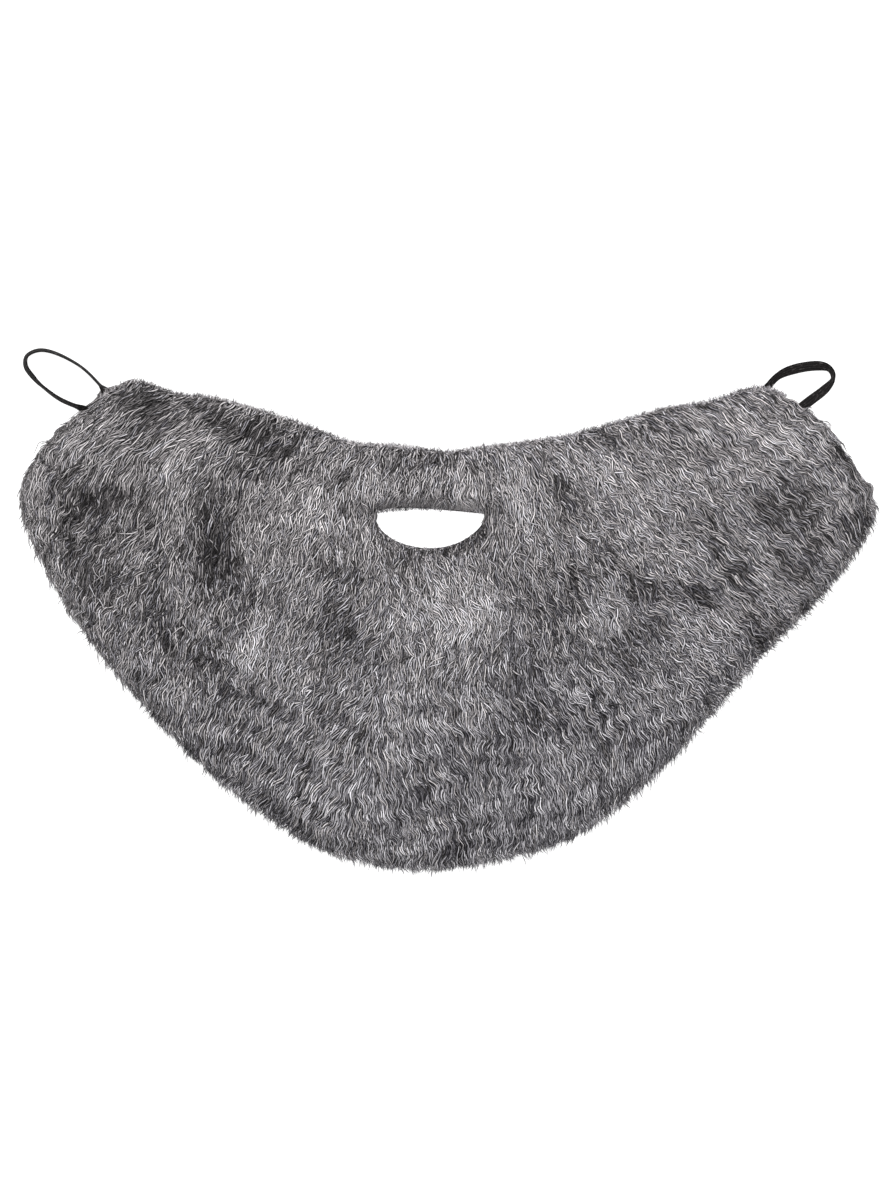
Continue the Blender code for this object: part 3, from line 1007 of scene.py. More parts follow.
@dataclass(frozen=True)
class FurFinish:
    """Salt-and-pepper fibres, each with its own tone, darker at the root with painted shade, and with painted shadow
    along each fibre's edges.
    """

    chart: FibreChart = FibreChart()
    warm: tuple[tuple[float, tuple[float, float, float]], ...] = (
        (0.0, (0.010, 0.0092, 0.0095)),
        (0.22, (0.036, 0.033, 0.034)),
        (0.50, (0.200, 0.187, 0.192)),
        (0.75, (0.535, 0.506, 0.516)),
        (1.0, (0.875, 0.835, 0.845)),
    )
    cool: tuple[tuple[float, tuple[float, float, float]], ...] = (
        (0.0, (0.0090, 0.0085, 0.0120)),
        (0.22, (0.034, 0.032, 0.040)),
        (0.50, (0.194, 0.186, 0.206)),
        (0.75, (0.520, 0.503, 0.536)),
        (1.0, (0.850, 0.830, 0.868)),
    )
    spread: float = 0.46
    dash_tone_and_crimp_shade: float = 0.60
    dashes: float = 9.0
    row_key: float = 331.7
    painted_root_shade: tuple[float, float] = (1.2, 0.70)
    # The painted shadow along each fibre's edges: its ramp across the fibre, its darkest share and its near-black
    # colour.
    painted_edge_shadow_ramp: tuple[float, float] = (3.4, -2.20)
    painted_edge_shadow_darkest: float = 0.035
    painted_edge_shadow_colour: tuple[float, float, float, float] = (0.004, 0.004, 0.004, 1)
    relief: tuple[float, float] = (0.00030, 0.7)
    roughness: float = 0.50
    specular: float = 0.12

    def make(self) -> bpy.types.Material:
        """Makes the material, which reads the shade map alone.

        Returns:
            The material of the pile.
        """
        recipe = Recipe("crimped_fibres", self.roughness, Specular_IOR_Level=self.specular)
        chart = recipe.add("ShaderNodeUVMap", uv_map=SHADE_MAP).outputs[0]
        across, up, _ = recipe.split(chart)
        counted = recipe.sum("MULTIPLY", across, self.chart.fibres)
        number = recipe.sum("FLOOR", counted)
        within = recipe.sum("FRACT", counted)
        lifted = recipe.sum("MULTIPLY", up, self.chart.rows)
        row = recipe.sum("FLOOR", lifted)
        along = recipe.sum("FRACT", lifted)
        key = recipe.sum("MULTIPLY_ADD", row, self.row_key, number)
        chance = recipe.add("ShaderNodeTexWhiteNoise", {"W": key}, noise_dimensions="1D").outputs[0]
        # Dashes along each fibre: partly the fibre's own tone changing along it, partly painted light and shade of its
        # crimp.
        dash_tone_and_crimp_shading = recipe.noise(recipe.join(key, recipe.sum("MULTIPLY", along, self.dashes), 0.0), 1.0, 2.0)
        tone = recipe.sum("DIVIDE", number, self.chart.fibres)
        shade = recipe.sum("MULTIPLY_ADD", recipe.sum("SUBTRACT", chance, 0.5), self.spread, tone)
        shade = recipe.sum("MULTIPLY_ADD", recipe.sum("SUBTRACT", dash_tone_and_crimp_shading, 0.5), self.dash_tone_and_crimp_shade, shade)
        lightness = recipe.sum("MAXIMUM", recipe.sum("MINIMUM", shade, 1.0), 0.0)
        colour = recipe.mix(row, recipe.ramp(lightness, self.warm), recipe.ramp(lightness, self.cool))
        offset = recipe.sum("MULTIPLY_ADD", within, 2.0, -1.0)
        profile = recipe.sum("SUBTRACT", 1.0, recipe.sum("MULTIPLY", offset, offset))
        # Painted shade: the colour darkens towards each fibre's root, where the pile shades it.
        rooted = recipe.sum("MINIMUM", recipe.sum("MULTIPLY_ADD", along, *self.painted_root_shade), 1.0)
        # Painted shadow: each fibre keeps its colour in its core and fades to near black at its edges, where its
        # neighbours shade it.
        painted_edge_shadow_ramp = recipe.sum("MULTIPLY_ADD", profile, *self.painted_edge_shadow_ramp)
        gap = recipe.sum("MAXIMUM", recipe.sum("MINIMUM", painted_edge_shadow_ramp, 1.0), self.painted_edge_shadow_darkest)
        shadow = recipe.sum("MULTIPLY", rooted, gap)
        recipe.colour(recipe.mix(shadow, self.painted_edge_shadow_colour, colour))
        recipe.relief(profile, *self.relief)
        return recipe.material


@dataclass(frozen=True)
class KnitFinish:
    """The backing: fine dark jersey, seen from its smooth side."""

    wale: float = 0.0016
    course: float = 0.0011
    dark: tuple[float, float, float] = (0.010, 0.010, 0.011)
    pale: tuple[float, float, float] = (0.060, 0.058, 0.062)
    slant: float = 1.3
    fuzz: tuple[float, float] = (900.0, 3.0)
    fuzz_share: float = 0.35
    wear: tuple[float, float] = (28.0, 4.0)
    worn: tuple[float, float] = (0.9, 0.3)
    relief: tuple[float, float] = (0.0004, 0.8)
    roughness: float = 0.85
    specular: float = 0.20

    def make(self) -> bpy.types.Material:
        """Makes the material, from the place on the cloth.

        Returns:
            The material of the knit.
        """
        recipe = Recipe("backing_knit", self.roughness, Specular_IOR_Level=self.specular)
        place = recipe.add("ShaderNodeTexCoord").outputs["Object"]
        x, y, _ = recipe.split(place)
        column = recipe.sum("DIVIDE", x, self.wale)
        leg = recipe.sum("PINGPONG", column, 0.5)
        slanted = recipe.sum("MULTIPLY_ADD", leg, self.slant, recipe.sum("DIVIDE", y, self.course))
        loop = recipe.sum("PINGPONG", slanted, 0.5)
        rib = recipe.sum("SINE", recipe.sum("MULTIPLY", leg, 2 * math.pi))
        stitch = recipe.sum("MULTIPLY", recipe.sum("MULTIPLY", loop, 2.0), recipe.sum("ABSOLUTE", rib))
        height = recipe.sum("MULTIPLY_ADD", recipe.noise(place, *self.fuzz), self.fuzz_share, stitch)
        worn = recipe.sum("MULTIPLY_ADD", recipe.noise(place, *self.wear), *self.worn)
        # Painted shade: the raised parts of the loops are paler and the hollows between them darker, under a mottle of
        # wear.
        shade = recipe.sum("MULTIPLY", height, worn)
        recipe.colour(recipe.ramp(shade, ((0.05, self.dark), (0.95, self.pale))))
        recipe.relief(height, *self.relief)
        return recipe.material


@dataclass(frozen=True)
class ElasticFinish:
    """Black braided elastic: ribs along the band, crossed by a fine slanting braid."""

    ribs: int = 9
    braid: float = 0.0009
    dark: tuple[float, float, float] = (0.002, 0.002, 0.002)
    pale: tuple[float, float, float] = (0.024, 0.021, 0.021)
    # The colour of the pale flecks, which are worn threads and painted highlights on the ribs.
    worn: tuple[float, float, float] = (0.075, 0.068, 0.068)
    slant: float = 1.4
    rib_share: float = 1.2
    braid_share: float = 0.8
    lint: tuple[float, float] = (12.0, 900.0)
    linty: tuple[float, float] = (1.2, 0.2)
    worn_and_highlight_spots: tuple[float, float] = (14.0, 420.0)
    worn_and_highlight_gain: tuple[float, float] = (7.0, -4.2)
    relief: tuple[float, float] = (0.0003, 0.8)
    roughness: float = 0.7
    specular: float = 0.12

    def make(self) -> bpy.types.Material:
        """Makes the material, which reads the band's map: across it from 0 to 1, and along it in metres.

        Returns:
            The material of the elastic.
        """
        recipe = Recipe("braided_elastic", self.roughness, Specular_IOR_Level=self.specular)
        band = recipe.add("ShaderNodeUVMap", uv_map=BAND_MAP).outputs[0]
        across, along, _ = recipe.split(band)
        rib = recipe.sum("PINGPONG", recipe.sum("MULTIPLY", across, self.ribs), 0.5)
        slant = recipe.sum("MULTIPLY_ADD", rib, self.slant, recipe.sum("DIVIDE", along, self.braid))
        braid = recipe.sum("PINGPONG", slant, 0.5)
        places = []
        for wide, long in (self.lint, self.worn_and_highlight_spots):
            parts = recipe.sum("MULTIPLY", across, wide), recipe.sum("MULTIPLY", along, long)
            places.append(recipe.join(*parts, 0.0))
        lint, worn_and_highlight_noise = recipe.noise(places[0], 1.0, 4.0), recipe.noise(places[1], 1.0, 1.0)
        crossed = recipe.sum("MULTIPLY", braid, self.braid_share)
        height = recipe.sum("MULTIPLY_ADD", rib, self.rib_share, crossed)
        # Painted highlight and shade: rib and braid crests are paler and their grooves darker, flecked by lint.
        shade = recipe.sum("MULTIPLY", height, recipe.sum("MULTIPLY_ADD", lint, *self.linty))
        plain = recipe.ramp(shade, ((0.15, self.dark), (0.95, self.pale)))
        # Pale flecks: worn threads, and painted highlights on the ribs.
        worn_and_highlight_mask = recipe.sum("MAXIMUM", recipe.sum("MULTIPLY_ADD", worn_and_highlight_noise, *self.worn_and_highlight_gain), 0.0)
        recipe.colour(recipe.mix(recipe.sum("MINIMUM", worn_and_highlight_mask, 1.0), plain, (*self.worn, 1)))
        recipe.relief(height, *self.relief)
        return recipe.material


@dataclass(frozen=True)
class ThreadFinish:
    """Black sewing thread, twisted."""

    twist: float = 0.0005
    dark: tuple[float, float, float] = (0.006, 0.006, 0.007)
    pale: tuple[float, float, float] = (0.070, 0.068, 0.070)
    relief: tuple[float, float] = (0.0001, 0.6)
    roughness: float = 0.5

    def make(self) -> bpy.types.Material:
        """Makes the material, from the place on the piece.

        Returns:
            The material of the stitches.
        """
        recipe = Recipe("sewing_thread", self.roughness)
        x, y, _ = recipe.split(recipe.add("ShaderNodeTexCoord").outputs["Object"])
        # Painted highlight and shade: each ply of the twist is paler on its crest and darker where it turns away.
        turns = recipe.sum("DIVIDE", recipe.sum("ADD", x, y), self.twist)
        ply = recipe.sum("PINGPONG", turns, 0.5)
        recipe.colour(recipe.ramp(recipe.sum("MULTIPLY", ply, 2.0), ((0.0, self.dark), (1.0, self.pale))))
        recipe.relief(ply, *self.relief)
        return recipe.material


@dataclass(frozen=True)
class FloorFinish:
    """A pale matt light table with a faint mottle."""

    colour: tuple[float, float, float] = (0.42, 0.42, 0.42)
    shaded: tuple[float, float, float] = (0.40, 0.40, 0.40)
    glow: float = 0.90
    mottle: tuple[float, float] = (3.0, 3.0)
    roughness: float = 0.9
    specular: float = 0.1

    def make(self) -> bpy.types.Material:
        """Makes the material, from the place on the floor.

        Returns:
            The material of the floor.
        """
        glow = {"Emission_Color": (1, 1, 1, 1), "Emission_Strength": self.glow}
        recipe = Recipe("studio_floor", self.roughness, Specular_IOR_Level=self.specular, **glow)
        mottle = recipe.noise(recipe.add("ShaderNodeTexCoord").outputs["Object"], *self.mottle)
        recipe.colour(recipe.ramp(mottle, ((0.3, self.shaded), (0.7, self.colour))))
        return recipe.material


@dataclass(frozen=True)
class Lay:
    """How one layer of the pile lies.

    In metres: its strands' least and greatest length, the heights over the pile's surface that their roots,
    middles and tips lie between, overhang, which is how far they may reach past an edge, setback, which is
    how far inside the edge their tips end, and band, which is how far from an edge they grow. Fibres is a
    strand's width in fibres, and width a share of a fibre's own. Stray is how far headings scatter and roll
    how far strands lean over sideways, in radians. Tone change and tone stray are how much paler they are,
    from 0 to 1, and crimp is a share of the full waves.
    """

    count: int
    rows: int
    length: tuple[float, float]
    fibres: int
    stray: float
    roll: float
    root: tuple[float, float]
    crest: tuple[float, float]
    tip: tuple[float, float]
    tone_change: float
    tone_stray: float
    overhang: float
    crimp: float
    width: float = 1.0
    setback: float = 0.0
    band: float = 1.0


TUFTS = Lay(
    count=8600,
    rows=14,
    length=(0.014, 0.022),
    fibres=3,
    stray=0.20,
    roll=0.18,
    root=(-0.0022, -0.0012),
    crest=(-0.0008, 0.0003),
    tip=(-0.0008, 0.0003),
    tone_change=-0.04,
    tone_stray=0.04,
    overhang=0.0005,
    crimp=1.0,
    setback=0.0044,
)
PAIRS = Lay(
    count=13000,
    rows=12,
    length=(0.0120, 0.0180),
    fibres=2,
    stray=0.30,
    roll=0.22,
    root=(-0.0016, -0.0006),
    crest=(-0.0004, 0.0008),
    tip=(-0.0006, 0.0007),
    tone_change=-0.02,
    tone_stray=0.05,
    overhang=0.0009,
    crimp=1.0,
    setback=0.0028,
)
FIBRES = Lay(
    count=11500,
    rows=10,
    length=(0.0095, 0.0150),
    fibres=1,
    stray=0.36,
    roll=0.24,
    root=(-0.0014, -0.0004),
    crest=(-0.0002, 0.0012),
    tip=(-0.0006, 0.0010),
    tone_change=-0.02,
    tone_stray=0.04,
    overhang=0.0018,
    crimp=1.1,
    width=0.9,
)
STRAY_FIBRES = Lay(
    count=3200,
    rows=10,
    length=(0.009, 0.014),
    fibres=1,
    stray=0.50,
    roll=0.40,
    root=(-0.0010, 0.0000),
    crest=(0.0006, 0.0018),
    tip=(0.0000, 0.0018),
    tone_change=0.00,
    tone_stray=0.10,
    overhang=0.0024,
    crimp=1.2,
    width=0.6,
)
CUT_FIBRES = Lay(
    count=64000,
    rows=5,
    length=(0.0030, 0.0060),
    fibres=1,
    stray=0.45,
    roll=0.60,
    root=(-0.0008, 0.0002),
    crest=(0.0002, 0.0012),
    tip=(0.0000, 0.0012),
    tone_change=0.00,
    tone_stray=0.07,
    overhang=0.0012,
    crimp=0.8,
    band=0.006,
)


@dataclass
class Backing:
    """The knitted cloth that the pile grows on, flat on the floor but for where it lies over the tails."""

    flow: FlowChart
    mouth: MouthSlot
    tails: list[tuple[np.ndarray, np.ndarray]]
    thickness: float = 0.0010
    inset: float = 0.0028
    nick: float = 0.00050
    lift: float = 0.00108
    lift_core: float = 0.0029
    lift_foot: float = 0.0075
    coarse: float = 0.006
    fine: float = 0.0015
    outline_places: int = 180
    slot_points: int = 64
    nick_span: float = 0.005
    edge_gap: float = 0.0012
    slot_gap: float = 0.0015
    merge: float = 1e-6
    flat: tuple[float, float] = field(init=False)
    area: float = field(init=False)

    def underside(self, points: np.ndarray) -> np.ndarray:
        """How high the cloth's back is over the floor at points in the plane.

        Args:
            points: Places in the plane, in metres.

        Returns:
            One height for each point: raised over the tails of the loops, and 0 elsewhere.
        """
        near = np.full(points.shape[:-1], 1.0)
        for entry, inner in self.tails:
            run = inner - entry
            share = np.clip(((points[..., :2] - entry) @ run) / (run @ run), 0, 1)
            gap = points[..., :2] - entry - share[..., None] * run
            near = np.minimum(near, np.linalg.norm(gap, axis=-1))
        return self.lift * (1 - smooth(near, self.lift_core, self.lift_foot))

    def topside(self, points: np.ndarray) -> np.ndarray:
        """How high the cloth's face is over the floor at points in the plane.

        Args:
            points: Places in the plane, in metres.

        Returns:
            One height for each point.
        """
        return self.underside(points) + self.thickness

    def outline(self, dice: np.random.Generator) -> np.ndarray:
        """The scissor-cut outline, along the top edge and back inside the tips of the hair.

        Args:
            dice: The source of chance.

        Returns:
            The outline's points, in metres.
        """
        places = np.linspace(0, self.flow.last, self.outline_places)
        top = self.flow.point(places, np.zeros(self.outline_places))
        back = places[::-1]
        low = self.flow.point(back, 1 - self.inset / self.flow.run(back))
        outline = np.concatenate([top, low])
        return outline + self.nick * Drift(dice, self.nick_span).at(outline)[:, None]

    def inner_points(self, outline: np.ndarray) -> np.ndarray:
        """Points spread over the cloth, close together round the tails, and clear of its edges.

        Args:
            outline: The outline's points, in metres.

        Returns:
            The points inside it, in metres.
        """
        low, high = outline.min(0), outline.max(0)
        spread = []
        for step in (self.coarse, self.fine):
            columns, rows = np.arange(low[0], high[0], step), np.arange(low[1], high[1], step)
            points = np.stack(np.meshgrid(columns, rows), -1).reshape(-1, 2)
            if step == self.fine:
                points = points[self.underside(points) > 0]
            spread.append(points)
        points = np.concatenate(spread)
        gap = np.linalg.norm(points[:, None] - outline[None], axis=-1).min(1)
        return points[(gap > self.edge_gap) & (self.mouth.depth(points) < -self.slot_gap)]

    def build(self, dice: np.random.Generator, material: bpy.types.Material) -> bpy.types.Object:
        """Cuts the cloth.

        Args:
            dice: The source of chance.
            material: The knit.

        Returns:
            The cloth, declared as a sheet later, when its pile is there.
        """
        outline = self.outline(dice)
        slot = self.mouth.edge(self.slot_points)
        points = np.concatenate([outline, slot, self.inner_points(outline)])
        rings = []
        for first, count in ((0, len(outline)), (len(outline), len(slot))):
            rings += [(first + step, first + (step + 1) % count) for step in range(count)]
        flat, _, faces, *_ = delaunay_2d_cdt([Vector(point) for point in points], rings, [], 1, self.merge)
        places = np.array(flat)
        heights = self.underside(places)
        bm = bmesh.new()
        verts = [bm.verts.new((*place, height)) for place, height in zip(places, heights)]
        for face in faces:
            if self.mouth.depth(places[list(face)].mean(0)) < 0:
                bm.faces.new([verts[index] for index in face])
        raised = bmesh.ops.extrude_face_region(bm, geom=bm.faces[:])["geom"]
        top = [item for item in raised if isinstance(item, bmesh.types.BMVert)]
        bmesh.ops.translate(bm, verts=top, vec=(0, 0, self.thickness))
        cloth = from_bmesh("backing_cloth", bm, material)
        self.flat = tuple(float(size) for size in outline.max(0) - outline.min(0))
        self.area = area_of(outline) - area_of(slot)
        return cloth

    def declare(self, cloth: bpy.types.Object, pile: list[bpy.types.Object]) -> None:
        """Says what the cloth was cut to, and what grows on it.

        Args:
            cloth: The cloth.
            pile: The pieces that grow on it.
        """
        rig.sheet(cloth, flat=self.flat, held="laid", area=self.area, with_pieces=pile)


def area_of(outline: np.ndarray) -> float:
    """The area inside a closed outline."""
    x, y = outline.T
    return abs(float(x @ np.roll(y, -1) - y @ np.roll(x, -1))) / 2


@dataclass(frozen=True)
class Neatness:
    """Where the pile is combed neatly: at the right end, round the left corner and over the chin."""

    right_from: tuple[float, float] = (0.095, 0.145)
    right_above: tuple[float, float] = (-0.020, 0.030)
    corner: tuple[float, float] = (-0.150, 0.095)
    corner_reach: float = 0.045
    corner_share: float = 0.70
    chin_from: tuple[float, float] = (0.010, 0.070)
    chin_share: float = 0.75
    hold: float = 0.7
    lengthening: float = 0.3

    def at(self, points: np.ndarray) -> np.ndarray:
        """How neat the pile is at points in the plane, from 0 to 1.

        Args:
            points: Places in the plane, in metres.

        Returns:
            One value for each point.
        """
        right = smooth(points[..., 0], *self.right_from) * smooth(points[..., 1], *self.right_above)
        gap = ((points[..., :2] - np.array(self.corner)) ** 2).sum(-1)
        corner = self.corner_share * np.exp(-gap / self.corner_reach**2)
        chin = self.chin_share * smooth(-points[..., 1], *self.chin_from)
        return np.maximum(np.maximum(right, corner), chin)


@dataclass
class Waving:
    """The long wave that neighbouring fibres share, and the crimp that each one has of its own, in metres.

    The wave's strength is 1 where it stands out fully. Turns are in radians.
    """

    combing: Combing
    length: float = 0.0118
    reach: float = 0.00085
    phase_span: float = 0.085
    phase_turn: float = 2.8
    own_turn: float = 0.40
    calm_span: float = 0.030
    calm_change: float = 0.34
    calm_right: float = 0.20
    least_everywhere: float = 0.22
    chin_share: float = 0.50
    chin_from: tuple[float, float] = (0.000, 0.060)
    right_share: float = 0.56
    right_from: tuple[float, float] = (0.105, 0.160)
    right_above: tuple[float, float] = (-0.010, 0.050)
    left_share: float = 0.28
    left_from: tuple[float, float] = (0.130, 0.180)
    limits: tuple[float, float] = (0.15, 1.50)
    crimp_length: float = 0.0058
    crimp_reach: float = 0.00016
    crimp_turn: float = 1.0
    reach_stray: float = 0.4
    ripple_height: float = 0.00055
    ripple_lead: float = 0.6
    phase: Drift = field(init=False)
    calm: Drift = field(init=False)

    def draw(self, dice: np.random.Generator) -> None:
        """Draws the fields that the waves drift by."""
        self.phase = Drift(dice, self.phase_span)
        self.calm = Drift(dice, self.calm_span)

    def at(self, points: np.ndarray) -> tuple[np.ndarray, np.ndarray]:
        """The shared wave, which is strongest over the chin and at the right end.

        Args:
            points: Points in the plane of the cloth.

        Returns:
            The wave's angle, and its strength.
        """
        angle = 2 * math.pi * self.combing.waves.at(points) / self.length
        angle = angle + self.phase_turn * self.phase.at(points)
        low = smooth(-points[..., 1], *self.chin_from)
        right = smooth(points[..., 0], *self.right_from) * smooth(points[..., 1], *self.right_above)
        left = smooth(-points[..., 0], *self.left_from)
        most = np.maximum(np.maximum(self.chin_share * low, self.right_share * right), self.left_share * left)
        change = (self.calm_change + self.calm_right * right) * self.calm.at(points)
        return angle, np.clip(self.least_everywhere + most + change, *self.limits)

    def sway(
        self,
        dice: np.random.Generator,
        angle: np.ndarray,
        strength: np.ndarray,
        loose: np.ndarray,
        crimp: float,
    ) -> np.ndarray:
        """How far strands sway sideways by the shared wave and their own crimp.

        Args:
            dice: The source of chance.
            angle: The shared wave's angle at each point of each strand.
            strength: Its strength there.
            loose: How loosely each strand lies, from 0 to 1.
            crimp: How much of the full sway their layer has.

        Returns:
            The sway at each point, in metres.
        """
        count = len(loose)
        own = angle + (self.own_turn * loose * dice.standard_normal(count))[:, None]
        small = angle * (self.length / self.crimp_length) + dice.normal(0, self.crimp_turn, count)[:, None]
        reach = crimp * (1 + loose * dice.uniform(-self.reach_stray, self.reach_stray, count))[:, None]
        sway = reach * self.reach * strength * (np.sin(own) - np.sin(own)[:, :1])
        return sway + reach * self.crimp_reach * loose[:, None] * (np.sin(small) - np.sin(small)[:, :1])

    def ripple(self, angle: np.ndarray, strength: np.ndarray) -> np.ndarray:
        """How far the shared wave lifts the pile."""
        return self.ripple_height * strength * np.cos(angle + self.ripple_lead)


@dataclass(frozen=True)
class Edging:
    """How the strands keep to the cloth's edges, in metres.

    Under the slot, within lower_lip of it, they are short, and dark with painted shadow. Roots near the cut top edge
    are set behind it, and a strand that would reach past an edge further than it may is moved back as a whole.
    """

    lip_gap: float = 0.0002
    below_middle: float = 0.002
    lower_lip: float = 0.0060
    lip_length: float = 0.30
    lip_over: tuple[float, float] = (-0.5, 1.0)
    lip_ease: float = 5.0
    top_band: float = 0.010
    set_behind: float = 0.0012
    set_reach: float = 0.003
    most_over: float = 0.0055
    root_over: float = 0.0014
    top_reach: float = 0.004
    rim_width: float = 0.40
    rim_reach: tuple[float, float] = (-0.0010, 0.0040)


@dataclass(frozen=True)
class Tinting:
    """How the mix's paleness, from 0 to 1, changes along streaks, with painted light and shade over the wave rows, and
    with painted shadow under the slot.
    """

    streak_span: float = 0.0065
    streak_waves: int = 24
    streak_length: float = 0.018
    streak_points: int = 8
    streak_gain: float = 1.8
    streak_change: float = 0.07
    row_painted_shading: float = 0.11
    row_painted_shading_chin: float = 0.10
    row_painted_shading_chin_from: tuple[float, float] = (0.0, 0.06)
    row_painted_shading_most: float = 0.80
    lip_shadow: float = 0.22
    lip_from: float = 0.001


@dataclass
class Pile:
    """The pile: layers of crimped strands over a fibrous undercoat, and the curls at its cut edges."""

    flow: FlowChart
    mouth: MouthSlot
    combing: Combing
    surface: PileSurface
    backing: Backing
    shading: Shading
    chart: FibreChart
    dice: np.random.Generator
    layers: tuple[Lay, ...] = (TUFTS, PAIRS, FIBRES, STRAY_FIBRES, CUT_FIBRES)
    neatness: Neatness = Neatness()
    edging: Edging = Edging()
    tinting: Tinting = Tinting()
    fibre_width: float = 0.00118
    chart_inset: float = 0.02
    root_width: float = 0.45
    widening: float = 2.5
    narrowing: float = 0.86
    narrow_from: float = 0.55
    swirl_span: float = 0.013
    swirl_waves: int = 20
    swirl_turn: float = 0.20
    most_stray: float = 1.5
    gather_span: float = 0.008
    gather_reach: float = 0.0006
    bow_stray: float = 0.0004
    sink: float = 0.0012
    edge_sink: float = 0.3
    lowest: float = 0.0006
    tip_roll: float = 0.5
    risen_by: float = 0.4
    lowered_from: float = 0.5
    seam_blur: float = 0.12
    spare_span: float = 0.050
    waving: Waving = field(init=False)
    swirl: Drift = field(init=False)
    gather: Drift = field(init=False)
    grain: Drift = field(init=False)

    def __post_init__(self) -> None:
        """Draws the fields that the pile drifts by."""
        self.grain = Drift(self.dice, self.tinting.streak_span, self.tinting.streak_waves)
        # One drift is drawn and let go: all that is drawn after it depends on its draws
        Drift(self.dice, self.spare_span)
        self.swirl = Drift(self.dice, self.swirl_span, self.swirl_waves)
        self.gather = Drift(self.dice, self.gather_span)
        self.waving = Waving(self.combing)
        self.waving.draw(self.dice)

    def lay(self, how: Lay) -> tuple[Strands, np.ndarray]:
        """Lays one layer.

        Args:
            how: How the layer lies.

        Returns:
            Its strands, and the place along the flow lines that each one grows at.
        """
        dice, edging = self.dice, self.edging
        place, share, root = self.roots(how)
        count, down = len(place), share * self.flow.run(place)
        lip = -self.mouth.depth(root)
        back = dice.uniform(0, edging.set_behind, count) * (1 - smooth(down, 0.0, edging.set_reach))
        neat = self.neatness.at(root)
        loose = 1 - self.neatness.hold * neat
        off = np.clip(dice.standard_normal(count), -self.most_stray, self.most_stray)
        stray = self.swirl_turn * self.swirl.at(root) + how.stray * loose * off
        length = dice.uniform(*how.length, count) * (1 + self.neatness.lengthening * neat)
        below = (root[:, 1] < self.mouth.middle[1] - edging.below_middle) & (lip < edging.lower_lip)
        shorter = edging.lip_length + (1 - edging.lip_length) * smooth(lip, 0, edging.lower_lip)
        length = np.where(below, length * shorter, length)
        steps = np.linspace(0, 1, how.rows)
        root, excess = self.held_in(how, root, stray, length, back)
        path = self.trail(root, stray, length, how.rows)
        ahead = np.gradient(path, axis=1)
        heading = np.arctan2(ahead[..., 1], ahead[..., 0])
        angle, strength = self.waving.at(path)
        sway = self.waving.sway(dice, angle, strength, loose, how.crimp)
        pull = self.gather_reach * self.gather.at(path) * steps
        bow = dice.normal(0, self.bow_stray, count)[:, None] * steps * (1 - steps) * 4
        path = path + turned(heading + math.pi / 2) * (sway + pull + bow)[..., None]
        edge = smooth(down - excess * length, 0.0, edging.top_reach)[:, None]
        strands = self.ribbons(how, path, heading, steps, angle, strength, np.where(below, lip, 1.0), edge)
        rooted = self.combing.depths.at(root) > -edging.root_over
        return strands.only(rooted), place[rooted]

    def roots(self, how: Lay) -> tuple[np.ndarray, np.ndarray, np.ndarray]:
        """Scatters a layer's roots over the cloth, and keeps those in its band and clear of the edges.

        Args:
            how: How the layer lies.

        Returns:
            The roots' places along the flow lines, their shares down them, and the roots.
        """
        edging = self.edging
        place, share = self.flow.scatter(self.dice, how.count)
        root = self.flow.point(place, share)
        lip = -self.mouth.depth(root)
        deep, down = self.combing.depths.at(root), share * self.flow.run(place)
        under = np.where(root[:, 1] < self.mouth.middle[1] - edging.below_middle, lip, 1.0)
        near = np.minimum(np.minimum(down, deep), under)
        kept = (lip > edging.lip_gap) & (near < how.band) & ((deep > how.setback) | (down < edging.top_band))
        return place[kept], share[kept], root[kept]

    def held_in(
        self, how: Lay, root: np.ndarray, stray: np.ndarray, length: np.ndarray, back: np.ndarray
    ) -> tuple[np.ndarray, np.ndarray]:
        """Moves roots back so far that no strand reaches further past an edge than it may.

        Args:
            how: How their layer lies.
            root: The roots.
            stray: How far each strand's heading is off the combing, in radians.
            length: How long each strand is.
            back: How far each root is moved in any case.

        Returns:
            The moved roots, and the share of its length that each strand was moved to be held in.
        """
        dice, edging, count = self.dice, self.edging, len(root)
        steps = np.linspace(0, 1, how.rows)
        past = np.minimum(dice.exponential(how.overhang, count), edging.most_over)
        past = past[:, None] - how.setback * steps
        over = dice.uniform(*edging.lip_over, count)[:, None] * how.overhang * steps
        over = over - how.setback / edging.lip_ease * steps
        path = self.trail(root, stray, length, how.rows)
        out = (self.combing.depths.at(path) < -past) | (self.mouth.depth(path) > over)
        excess = np.where(out.any(1), 1 - steps[np.maximum(out.argmax(1) - 1, 0)], 0)
        ahead = path[:, 1] - path[:, 0]
        strides = excess * (how.rows - 1) + back * (how.rows - 1) / length
        return root - ahead * strides[:, None], excess

    def streaks(self, points: np.ndarray) -> np.ndarray:
        """How pale points are by streaks that lie along the combing.

        Args:
            points: Places in the plane, in metres.

        Returns:
            One value for each point, about 0 and seldom past 1 or -1.
        """
        still = np.zeros(len(points))
        line = self.trail(points, still, still + self.tinting.streak_length, self.tinting.streak_points)
        return self.tinting.streak_gain * self.grain.at(line).mean(1)

    def trail(self, root: np.ndarray, stray: np.ndarray, length: np.ndarray, rows: int) -> np.ndarray:
        """Follows the combing from roots.

        Args:
            root: Where strands grow.
            stray: How far each one's heading is off the combing, in radians.
            length: How long they are.
            rows: How many points each one has.

        Returns:
            Their points.
        """
        sine, cosine = np.sin(stray), np.cos(stray)
        path = [root]
        for _ in range(rows - 1):
            x, y = self.combing.headings.at(path[-1]).T
            toward = np.stack([x * cosine - y * sine, x * sine + y * cosine], -1)
            path.append(path[-1] + toward * (length / (rows - 1))[:, None])
        return np.stack(path, 1)

